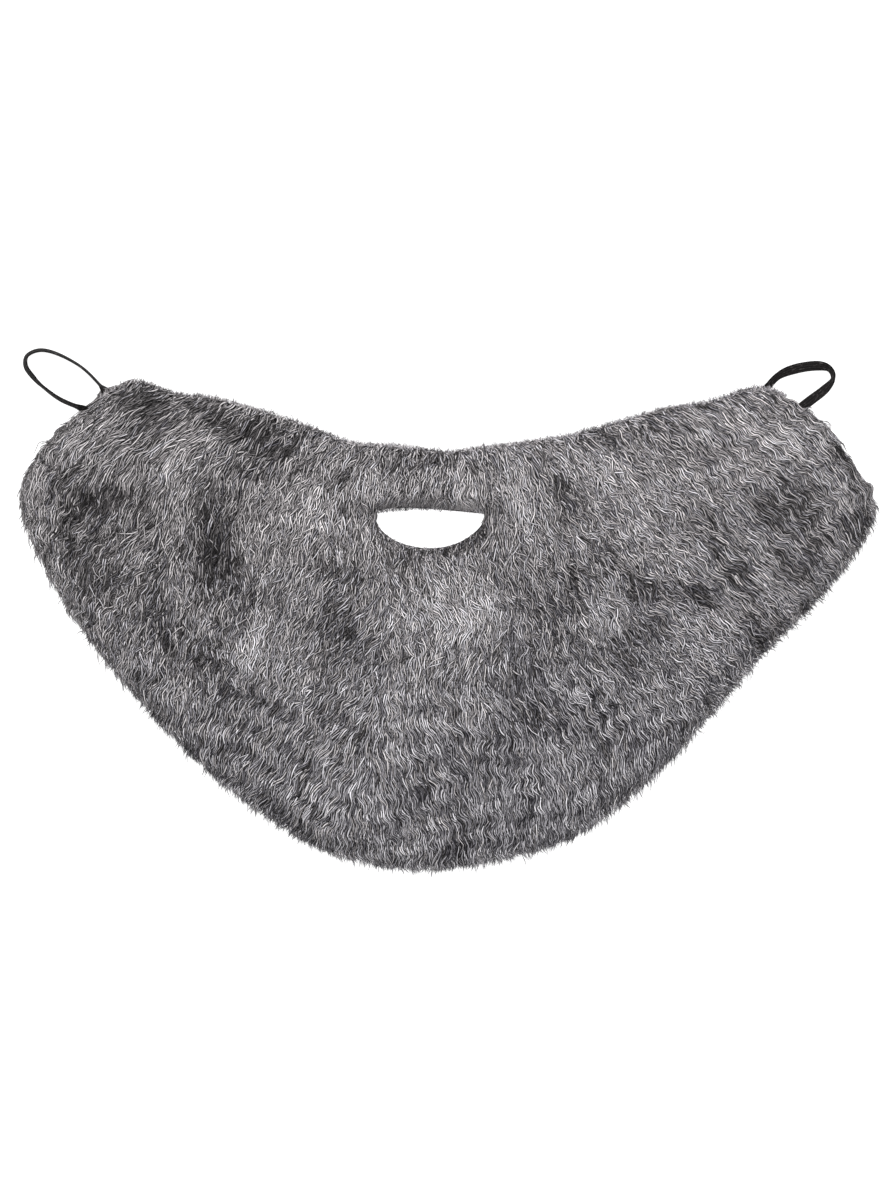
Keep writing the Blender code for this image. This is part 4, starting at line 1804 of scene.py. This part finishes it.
    def ribbons(
        self,
        how: Lay,
        path: np.ndarray,
        heading: np.ndarray,
        steps: np.ndarray,
        angle: np.ndarray,
        strength: np.ndarray,
        lip: np.ndarray,
        edge: np.ndarray,
    ) -> Strands:
        """Gives strands their height, width and fibres.

        Args:
            how: How their layer lies.
            path: Their centre lines in the plane of the cloth.
            heading: Where they lead.
            steps: The share of its length at each point of a strand.
            angle: The shared wave's angle at each point.
            strength: The shared wave's strength at each point.
            lip: How far below the mouth slot they grow, or 1 where they don't grow there.
            edge: 0 at the cut top edge, rising to 1 past it.

        Returns:
            The strands.
        """
        dice, count, edging = self.dice, len(path), self.edging
        root, crest, tip = (dice.uniform(*level, count)[:, None] for level in (how.root, how.crest, how.tip))
        root = root * edge
        risen, lowered = smooth(steps, 0, self.risen_by), smooth(steps, self.lowered_from, 1.0)
        lift = root + (crest - root) * risen + (tip - crest) * lowered
        lift = np.where(lip[:, None] < edging.lower_lip, np.minimum(lift, 0), lift)
        sunk = self.sink * (self.edge_sink + (1 - self.edge_sink) * edge)
        height = self.surface.at(path) - sunk + lift + self.waving.ripple(angle, strength)
        height = np.maximum(height, self.lowest + self.lowest * dice.random(count)[:, None])
        centre = np.concatenate([path, height[..., None]], -1)
        roll = how.roll * dice.standard_normal(count)[:, None]
        roll = roll + self.tip_roll * dice.standard_normal(count)[:, None] * steps
        aside = turned(heading + math.pi / 2) * np.cos(roll)[..., None]
        side = np.concatenate([aside, np.sin(roll)[..., None]], -1)
        taper = np.minimum(1.0, self.root_width + self.widening * steps)
        taper = taper * (1 - self.narrowing * smooth(steps, self.narrow_from, 1.0))
        rim = smooth(self.combing.depths.at(path), *edging.rim_reach)
        thin = taper * np.maximum(edging.rim_width + (1 - edging.rim_width) * rim, 1 - edge)
        half = (self.fibre_width * how.width * how.fibres / 2 * thin)[..., None] * side
        middle = path[:, len(steps) // 2]
        tone = self.shading.tone(middle) + how.tone_change + how.tone_stray * dice.standard_normal(count)
        tone = self.tinted(tone, middle, angle[:, len(steps) // 2], strength[:, 0], lip)
        first, row = self.chart.windows(dice, tone, self.shading.coolness(middle), how.fibres)
        up = self.chart.up(row[:, None], np.broadcast_to(steps, (count, len(steps))))
        ends = self.chart.edges(first, how.fibres, self.chart_inset)
        return Strands(centre + half, centre - half, ends, up)

    def tinted(
        self,
        tone: np.ndarray,
        middle: np.ndarray,
        angle: np.ndarray,
        strength: np.ndarray,
        lip: np.ndarray,
    ) -> np.ndarray:
        """Changes how pale strands are by their streaks, by painted light and shade of their wave row, and by painted
        shadow of the upper lip.

        Args:
            tone: How pale the strands are.
            middle: The strands' middles in the plane.
            angle: The shared wave's angle there.
            strength: The shared wave's strength at their roots.
            lip: How far below the mouth slot they grow, or 1 where they don't grow there.

        Returns:
            How pale they are then.
        """
        tinting = self.tinting
        # Painted light and shade of the wave rows: paler where the pile rises in a crest, darker in the troughs.
        rows = tinting.row_painted_shading + tinting.row_painted_shading_chin * smooth(-middle[:, 1], *tinting.row_painted_shading_chin_from)
        rows = rows * np.minimum(strength, tinting.row_painted_shading_most) * np.cos(angle + self.waving.ripple_lead)
        shadow = tinting.lip_shadow * (1 - smooth(lip, tinting.lip_from, self.edging.lower_lip))
        return tone + tinting.streak_change * self.streaks(middle) + rows - shadow

    def build(self, material: bpy.types.Material) -> list[bpy.types.Object]:
        """Builds the pile's pieces.

        Args:
            material: The fibres' material.

        Returns:
            The pieces.
        """
        layers = [self.lay(how) for how in self.layers]
        pieces = []
        for part in Part:
            low, high = part.value
            batches = []
            for strands, place in layers:
                blurred = place + self.dice.normal(0, self.seam_blur, len(place))
                batches.append(strands.only((blurred >= low) & (blurred < high)))
            pieces.append(strand_piece(f"pile_{part.name.lower()}", batches, material))
        pieces.append(strand_piece("undercoat", Undercoat(self).strands(), material))
        pieces.append(strand_piece("edge_curls", EdgeCurls(self).strands(), material))
        return pieces


@dataclass
class Undercoat:
    """The dense short fibres that fill the pile, painted darker for the shade deep in the pile, as a rippled sheet of
    strands side by side, in metres.
    """

    pile: Pile
    columns: int = 240
    rows: int = 109
    block: int = 9
    span: int = 2
    foot: float = 0.985
    sink: float = 0.0026
    ripple_share: float = 0.5
    slot_rim: float = 0.0006
    slot_near: float = 0.0023
    slot_edge: float = 0.0008
    slot_gap: float = 0.0002
    slope: float = 1.2
    dip: float = 0.0002
    # Painted shade: the undercoat is darker, standing for the shade deep in the pile.
    tone_change: float = -0.20
    tone_stray: float = 0.06
    fibre_part: tuple[float, float] = (0.25, 0.95)

    def sheet(self, grid: list[np.ndarray], points: np.ndarray) -> np.ndarray:
        """Lifts the sheet from the cloth.

        Args:
            grid: The points' places along the flow lines, and their shares down them.
            points: The points in the plane.

        Returns:
            The sheet's points.
        """
        pile = self.pile
        run = pile.flow.run(grid[0])
        down = grid[1] * run
        angle, strength = pile.waving.at(points)
        ripple = self.ripple_share * pile.waving.ripple_height * strength * np.cos(angle)
        height = pile.surface.at(points) - self.sink + ripple
        edge = np.minimum(np.minimum(down, run - down), -pile.mouth.depth(points) - self.slot_edge)
        rooted = pile.backing.topside(points)
        height = np.maximum(np.minimum(height, rooted + self.slope * np.maximum(edge, 0)), rooted - self.dip)
        return np.concatenate([points, height[..., None]], -1)

    def strands(self) -> list[Strands]:
        """The strands, in blocks down the sheet, each with fibres of its own.

        Returns:
            The batches of strands.
        """
        pile, dice = self.pile, self.pile.dice
        places = np.linspace(0, pile.flow.last, self.columns + 1)
        grid = np.meshgrid(places, np.linspace(0.0, self.foot, self.rows), indexing="ij")
        points = pile.mouth.cleared(pile.flow.point(*grid), self.slot_rim, self.slot_near)
        sheet = self.sheet(grid, points)
        held = pile.mouth.depth(points) < -self.slot_gap
        centres = (points[1:, 1:] + points[:-1, 1:] + points[1:, :-1] + points[:-1, :-1]) / 4
        clear = pile.mouth.depth(centres) < 0.0
        pieces = []
        for start in range(0, self.rows - 1, self.block):
            end = min(start + self.block, self.rows - 1)
            left, right = sheet[1:, start : end + 1], sheet[:-1, start : end + 1]
            middle = left[:, (end - start) // 2, :2]
            # Painted shade deep in the pile, through tone_change.
            tone = pile.shading.tone(middle) + self.tone_change
            tone = tone + self.tone_stray * dice.standard_normal(self.columns)
            first, row = pile.chart.windows(dice, tone, pile.shading.coolness(middle), self.span)
            steps = np.linspace(*self.fibre_part, end - start + 1)
            up = pile.chart.up(row[:, None], np.broadcast_to(steps, (self.columns, len(steps))))
            rim = held[:, start : end + 1]
            shown = rim[1:, 1:] & rim[:-1, 1:] & rim[1:, :-1] & rim[:-1, :-1] & clear[:, start:end]
            pieces.append(Strands(left, right, pile.chart.edges(first, self.span), up, shown))
        return pieces


@dataclass
class EdgeCurls:
    """The short curled fibres that stand out over the cut edges: the top edge and both lips of the mouth.

    Sizes are in metres. Curls come as their count and the longest one's length. Strays are in radians.
    """

    pile: Pile
    top: tuple[tuple[int, float], ...] = ((3600, 0.0026), (1100, 0.0042))
    upper_lip: tuple[int, float] = (500, 0.0020)
    lower_lip: tuple[int, float] = (260, 0.0014)
    top_band: tuple[float, float] = (-0.0003, 0.0008)
    lip_band: tuple[float, float] = (0.0002, 0.0016)
    top_stray: float = 0.9
    lip_stray: float = 0.5
    points: int = 6
    shortest: float = 0.4
    bend: float = 1.5
    rise: tuple[float, float] = (0.0002, 0.0026)
    half_width: float = 0.00017
    taper: float = 0.6
    tone_change: float = -0.18
    tone_stray: float = 0.18
    chart_inset: float = 0.3
    fibre_part: tuple[float, float] = (0.4, 0.5)

    def strands(self) -> list[Strands]:
        """The curls of the top edge, then of the upper and the lower lip.

        Returns:
            The batches of strands.
        """
        flow, mouth, dice, batches = self.pile.flow, self.pile.mouth, self.pile.dice, []
        for count, longest in self.top:
            place = dice.uniform(0, flow.last, count)
            root = flow.point(place, dice.uniform(*self.top_band, count) / flow.run(place))
            heading = flow.heading(place) + math.pi + dice.normal(0, self.top_stray, count)
            batches.append(self.curls(root, heading, longest))
        for (count, longest), bow, lead in (
            (self.upper_lip, mouth.rise, -1.0),
            (self.lower_lip, -mouth.drop, 1.0),
        ):
            angle = np.arccos(dice.uniform(-1, 1, count))
            out = dice.uniform(*self.lip_band, count) * np.sign(bow)
            across = mouth.middle[0] - np.cos(angle) * mouth.width / 2
            up = mouth.middle[1] + np.sin(angle) * bow + out
            heading = lead * math.pi / 2 + dice.normal(0, self.lip_stray, count)
            batches.append(self.curls(np.stack([across, up], -1), heading, longest))
        return batches

    def curls(self, root: np.ndarray, heading: np.ndarray, longest: float) -> Strands:
        """Curls fibres from their roots.

        Args:
            root: Where they grow.
            heading: Which way each one starts.
            longest: How long the longest one is.

        Returns:
            The strands.
        """
        pile, dice, count = self.pile, self.pile.dice, len(root)
        length = longest * dice.uniform(self.shortest, 1.0, count)
        steps = np.linspace(0, 1, self.points)
        turn = heading[:, None] + dice.normal(0, self.bend, count)[:, None] * steps
        stride = turned(turn) * (length / (self.points - 1))[:, None, None]
        path = root[:, None] + np.cumsum(stride, 1) - stride[:, :1]
        height = pile.backing.topside(path) + dice.uniform(*self.rise, count)[:, None]
        centre = np.concatenate([path, height[..., None]], -1)
        across = np.stack([-np.sin(turn), np.cos(turn), 0 * turn], -1)
        half = across * (self.half_width * (1 - self.taper * steps))[None, :, None]
        tone = pile.shading.tone(root) + self.tone_change + self.tone_stray * dice.standard_normal(count)
        first, row = pile.chart.windows(dice, tone, pile.shading.coolness(root), 1)
        start, run = self.fibre_part
        up = pile.chart.up(row[:, None], start + run * steps[None] + 0 * turn)
        return Strands(centre + half, centre - half, pile.chart.edges(first, 1, self.chart_inset), up)


# The points of each ear loop outside the cloth: across and up in shares of its reach from the panel's corner,
# and how far the band has turned from flat, at 0 degrees, onto its edge, at 90
ROUTES = {
    Side.LEFT: (
        (0.10, 0.08, 20),
        (-0.16, 0.35, 82),
        (-0.39, 0.50, 78),
        (-0.61, 0.59, 72),
        (-0.77, 0.60, 66),
        (-0.90, 0.53, 64),
        (-0.91, 0.40, 60),
        (-0.82, 0.27, 62),
        (-0.70, 0.15, 76),
        (-0.48, -0.01, 70),
        (-0.20, -0.13, 45),
    ),
    Side.RIGHT: (
        (-0.25, 0.09, 30),
        (-0.08, 0.27, 46),
        (0.14, 0.362, 12),
        (0.40, 0.40, 16),
        (0.56, 0.36, 62),
        (0.605, 0.24, 76),
        (0.50, 0.10, 28),
        (0.32, -0.04, 10),
        (0.18, -0.15, 0),
    ),
}


def swept(rings: np.ndarray, length: float) -> bmesh.types.BMesh:
    """Bends a grid round into a closed bar through rings of points.

    Args:
        rings: The rings, each of as many points.
        length: How long the bar is, for its map along it.

    Returns:
        The bar, with a map that is across it from 0 to 1 and along it in metres.
    """
    count, around = rings.shape[:2]
    bm = bmesh.new()
    bmesh.ops.create_grid(bm, x_segments=around, y_segments=count - 1, size=0.5)
    band = bm.loops.layers.uv.new(BAND_MAP)
    for face in bm.faces:
        for corner in face.loops:
            corner[band].uv = (corner.vert.co.x + 0.5, (corner.vert.co.y + 0.5) * length)
    for vert in bm.verts:
        number = round((vert.co.x + 0.5) * around) % around
        vert.co = rings[round((vert.co.y + 0.5) * (count - 1)), number]
    bmesh.ops.remove_doubles(bm, verts=bm.verts, dist=MERGE_DISTANCE)
    bmesh.ops.holes_fill(bm, edges=[edge for edge in bm.edges if edge.is_boundary], sides=0)
    return bm


@dataclass
class EarLoop:
    """A loop of flat braided elastic whose two tails are sewn behind a corner of the cloth."""

    side: Side
    corner: np.ndarray
    reach: float = 0.0400
    width: float = 0.0050
    thickness: float = 0.0010
    tail: float = 0.0120
    twist: float = 0.35
    ribs: int = 8
    rib_depth: float = 0.00007
    rib_fall: float = 0.55
    rings: int = 132
    samples: int = 40
    tangent: float = 0.05
    tack_place: float = 0.35
    tack_zigs: int = 9
    tack_swing: float = 0.0017
    tack_run: float = 0.0034
    tack_height: float = 0.00015
    thread_radius: float = 0.00014
    thread_overlap: float = 0.00027
    points: np.ndarray = field(init=False)
    turns: np.ndarray = field(init=False)
    line: list[list[float]] = field(init=False)
    length: float = field(init=False)

    def __post_init__(self) -> None:
        """Lays the band's line, with a straight tail under the cloth at either end."""
        route = np.array(ROUTES[self.side])
        line = self.corner + route[:, :2] * self.reach
        ends = []
        for end, beside in ((line[0], line[1]), (line[-1], line[-2])):
            inward = (end - beside) / np.linalg.norm(end - beside) * self.tail
            ends.append((end + inward, end + inward / 2))
        self.points = np.array([*ends[0], *line, *reversed(ends[1])])
        self.turns = np.radians([0, 0, *route[:, 2], 0, 0])

    def tails(self) -> list[tuple[np.ndarray, np.ndarray]]:
        """Each tail, as the point where it goes under the cloth and its end."""
        return [(self.points[2], self.points[0]), (self.points[-3], self.points[-1])]

    def profile(self) -> np.ndarray:
        """The band's section: across it and through it, with a rib in each step across.

        Returns:
            The section's points, in metres.
        """
        across = np.linspace(-1, 1, 2 * self.ribs + 1)
        ridge = np.where(np.arange(len(across)) % 2, self.rib_depth, 0)
        half = self.thickness / 2
        deep = half * (1 - self.rib_fall * np.abs(across) ** 6) - self.rib_depth + ridge
        top = np.stack([across * self.width / 2, deep], -1)
        return np.concatenate([top, top[::-1] * (1, -1)])

    def build(self, material: bpy.types.Material) -> bpy.types.Object:
        """Args:
            material: The elastic.

        Returns:
            The band.
        """
        last = len(self.points) - 1
        fine = np.linspace(0, last, self.samples * last)
        strides = np.linalg.norm(np.diff(spline(self.points, fine), axis=0), axis=1)
        runs = np.concatenate([[0], np.cumsum(strides)])
        places = np.interp(np.linspace(0, runs[-1], self.rings), runs, fine)
        middle = spline(self.points, places)
        behind, ahead = np.maximum(places - self.tangent, 0), np.minimum(places + self.tangent, last)
        along = spline(self.points, ahead) - spline(self.points, behind)
        along /= np.linalg.norm(along, axis=1)[:, None]
        keys = np.insert(np.arange(last + 1.0), (3, last - 2), (2 + self.twist, last - 2 - self.twist))
        turns = np.insert(self.turns, (3, last - 2), self.turns[[3, -4]])
        turn = np.interp(places, keys, turns)[:, None]
        side = np.stack([-along[:, 1], along[:, 0], 0 * along[:, 0]], -1)
        up = np.array([[0, 0, 1.0]])
        wide = side * np.cos(turn) + up * np.sin(turn)
        thick = up * np.cos(turn) - side * np.sin(turn)
        lift = np.abs(wide[:, 2]) * self.width / 2 + np.abs(thick[:, 2]) * self.thickness / 2
        centre = np.concatenate([middle, lift[:, None]], -1)
        section = self.profile()
        rings = centre[:, None] + wide[:, None] * section[None, :, :1]
        rings = rings + thick[:, None] * section[None, :, 1:]
        name = f"ear_loop_{self.side.value}"
        band = from_bmesh(f"elastic_{self.side.value}", swept(rings, float(runs[-1])), material)
        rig.ride(band, "root")
        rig.slot(band, ELASTIC_SLOT)
        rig.replaces(band, name)
        self.line = [list(map(float, point)) for point in centre]
        self.length = float(runs[-1])
        return band

    def declare(self, band: bpy.types.Object, tacks: bpy.types.Object) -> None:
        """Says what the band is, from its first sewn end round to its other one.

        Args:
            band: The elastic.
            tacks: The stitches that hold it.
        """
        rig.cord(
            band,
            exit=self.line[0],
            length=self.length,
            diameter=self.width,
            far_end="object",
            stiffness="limp",
            lay="loose",
            path=self.line,
            with_pieces=[tacks],
        )

    def tacks(self, material: bpy.types.Material) -> bpy.types.Object:
        """Sews a zigzag bar tack across each tail, on the back.

        Args:
            material: The thread.

        Returns:
            The thread of both tacks.
        """
        bm = bmesh.new()
        for entry, inner in self.tails():
            out = (entry - inner) / np.linalg.norm(entry - inner)
            aside = np.array((-out[1], out[0]))
            middle = inner + out * self.tail * self.tack_place
            corners = []
            for zig in range(self.tack_zigs + 1):
                swing = self.tack_swing * (1 if zig % 2 else -1)
                step = out * (zig / self.tack_zigs - 0.5) * self.tack_run
                corners.append(middle + step + aside * swing)
            for start, end in zip(corners, corners[1:]):
                run = end - start
                turn = math.atan2(run[1], run[0])
                made = bmesh.ops.create_icosphere(bm, subdivisions=2, radius=self.thread_radius)["verts"]
                stretch = float(np.linalg.norm(run)) / self.thread_overlap
                bmesh.ops.scale(bm, verts=made, vec=(stretch, 1, 1))
                bmesh.ops.rotate(bm, verts=made, cent=(0, 0, 0), matrix=Matrix.Rotation(turn, 3, "Z"))
                bmesh.ops.translate(bm, verts=made, vec=(*((start + end) / 2), self.tack_height))
        thread = from_bmesh(f"bar_tacks_{self.side.value}", bm, material)
        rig.ride(thread, "root")
        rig.slot(thread, ELASTIC_SLOT)
        return thread


@dataclass
class Studio:
    """The floor, the lights and the camera that looks straight down. A light is its place, size and watts."""

    frame_height: float = 0.600
    lens: float = 85.0
    sensor: float = 36.0
    middle: tuple[float, float] = (-0.00155, 0.00700)
    pile_level: float = 0.005
    floor_size: float = 6.0
    floor_level: float = -0.0002
    sky: float = 0.72
    key: tuple[tuple[float, float, float], float, float] = ((-0.45, 0.95, 1.25), 0.9, 20.0)
    fill: tuple[tuple[float, float, float], float, float] = ((1.0, -0.5, 1.1), 1.2, 6.0)
    nearest: float = 0.01

    def build(self) -> None:
        """Builds everything that isn't part of the beard."""
        self.lay_floor()
        self.light("key", *self.key)
        self.light("fill", *self.fill)
        self.fill_sky()
        self.place_camera()

    def lay_floor(self) -> None:
        """Lays the floor just under the beard."""
        bm = bmesh.new()
        bmesh.ops.create_grid(bm, x_segments=2, y_segments=2, size=self.floor_size / 2)
        bmesh.ops.translate(bm, verts=bm.verts, vec=(0, 0, self.floor_level))
        mesh = bpy.data.meshes.new("floor")
        bm.to_mesh(mesh)
        bm.free()
        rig.stage(placed("floor", mesh, FloorFinish().make()))

    def light(self, name: str, place: tuple[float, float, float], size: float, power: float) -> None:
        """Hangs a soft square light that faces the beard.

        Args:
            name: The light's name.
            place: Where it hangs.
            size: How wide it is.
            power: Its power in watts.
        """
        lamp = bpy.data.lights.new(name, "AREA")
        lamp.shape = "SQUARE"
        lamp.size = size
        lamp.energy = power
        holder = bpy.data.objects.new(name, lamp)
        holder.location = place
        holder.rotation_euler = (-Vector(place)).to_track_quat("-Z", "Y").to_euler()
        bpy.context.scene.collection.objects.link(holder)

    def fill_sky(self) -> None:
        """Fills the room with even white light."""
        world = bpy.data.worlds.new("room")
        world.use_nodes = True
        background = world.node_tree.nodes["Background"]
        background.inputs["Color"].default_value = (1, 1, 1, 1)
        background.inputs["Strength"].default_value = self.sky
        bpy.context.scene.world = world
        bpy.context.scene.view_settings.view_transform = "Standard"

    def place_camera(self) -> None:
        """Hangs the camera over the middle of the picture."""
        camera = bpy.data.cameras.new("camera")
        camera.lens = self.lens
        camera.sensor_width = self.sensor
        camera.clip_start = self.nearest
        holder = bpy.data.objects.new("camera", camera)
        distance = self.frame_height * self.lens / self.sensor
        holder.location = (*self.middle, distance + self.pile_level)
        bpy.context.scene.collection.objects.link(holder)
        bpy.context.scene.camera = holder


def report(piece: bpy.types.Object) -> None:
    """Logs a piece's name and how many triangles it has."""
    piece.data.calc_loop_triangles()
    log.info("%s: %d triangles", piece.name, len(piece.data.loop_triangles))


def main() -> None:
    """Builds the beard in its studio."""
    logging.basicConfig(level=logging.INFO, format="%(message)s")
    Studio().build()
    dice = np.random.default_rng(SEED)
    flow, mouth = FlowChart(), MouthSlot()
    loops = [EarLoop(Side.LEFT, flow.tops[0]), EarLoop(Side.RIGHT, flow.tops[-1])]
    elastic, thread = ElasticFinish().make(), ThreadFinish().make()
    for loop in loops:
        band, tacks = loop.build(elastic), loop.tacks(thread)
        loop.declare(band, tacks)
        report(band)
        report(tacks)
    backing = Backing(flow, mouth, [tail for loop in loops for tail in loop.tails()])
    cloth = backing.build(dice, KnitFinish().make())
    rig.ride(cloth, "root")
    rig.slot(cloth, FUR_SLOT)
    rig.replaces(cloth, "fur_panel")
    report(cloth)
    surface = PileSurface(frame["nodes"]["fur_panel"])
    pile = Pile(flow, mouth, Combing(flow), surface, backing, Shading(dice), FibreChart(), dice)
    pieces = pile.build(FurFinish().make())
    for piece in pieces:
        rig.ride(piece, "root")
        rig.slot(piece, FUR_SLOT)
        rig.replaces(piece, "fur_panel")
        report(piece)
    backing.declare(cloth, pieces)


if __name__ == "__main__":
    main()
    boxes = {"cad": cad_box, "visual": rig.bounds()}
    with open(SIZE_FILE, "w") as size_file:
        json.dump({name: [list(corner) for corner in box] for name, box in boxes.items()}, size_file)
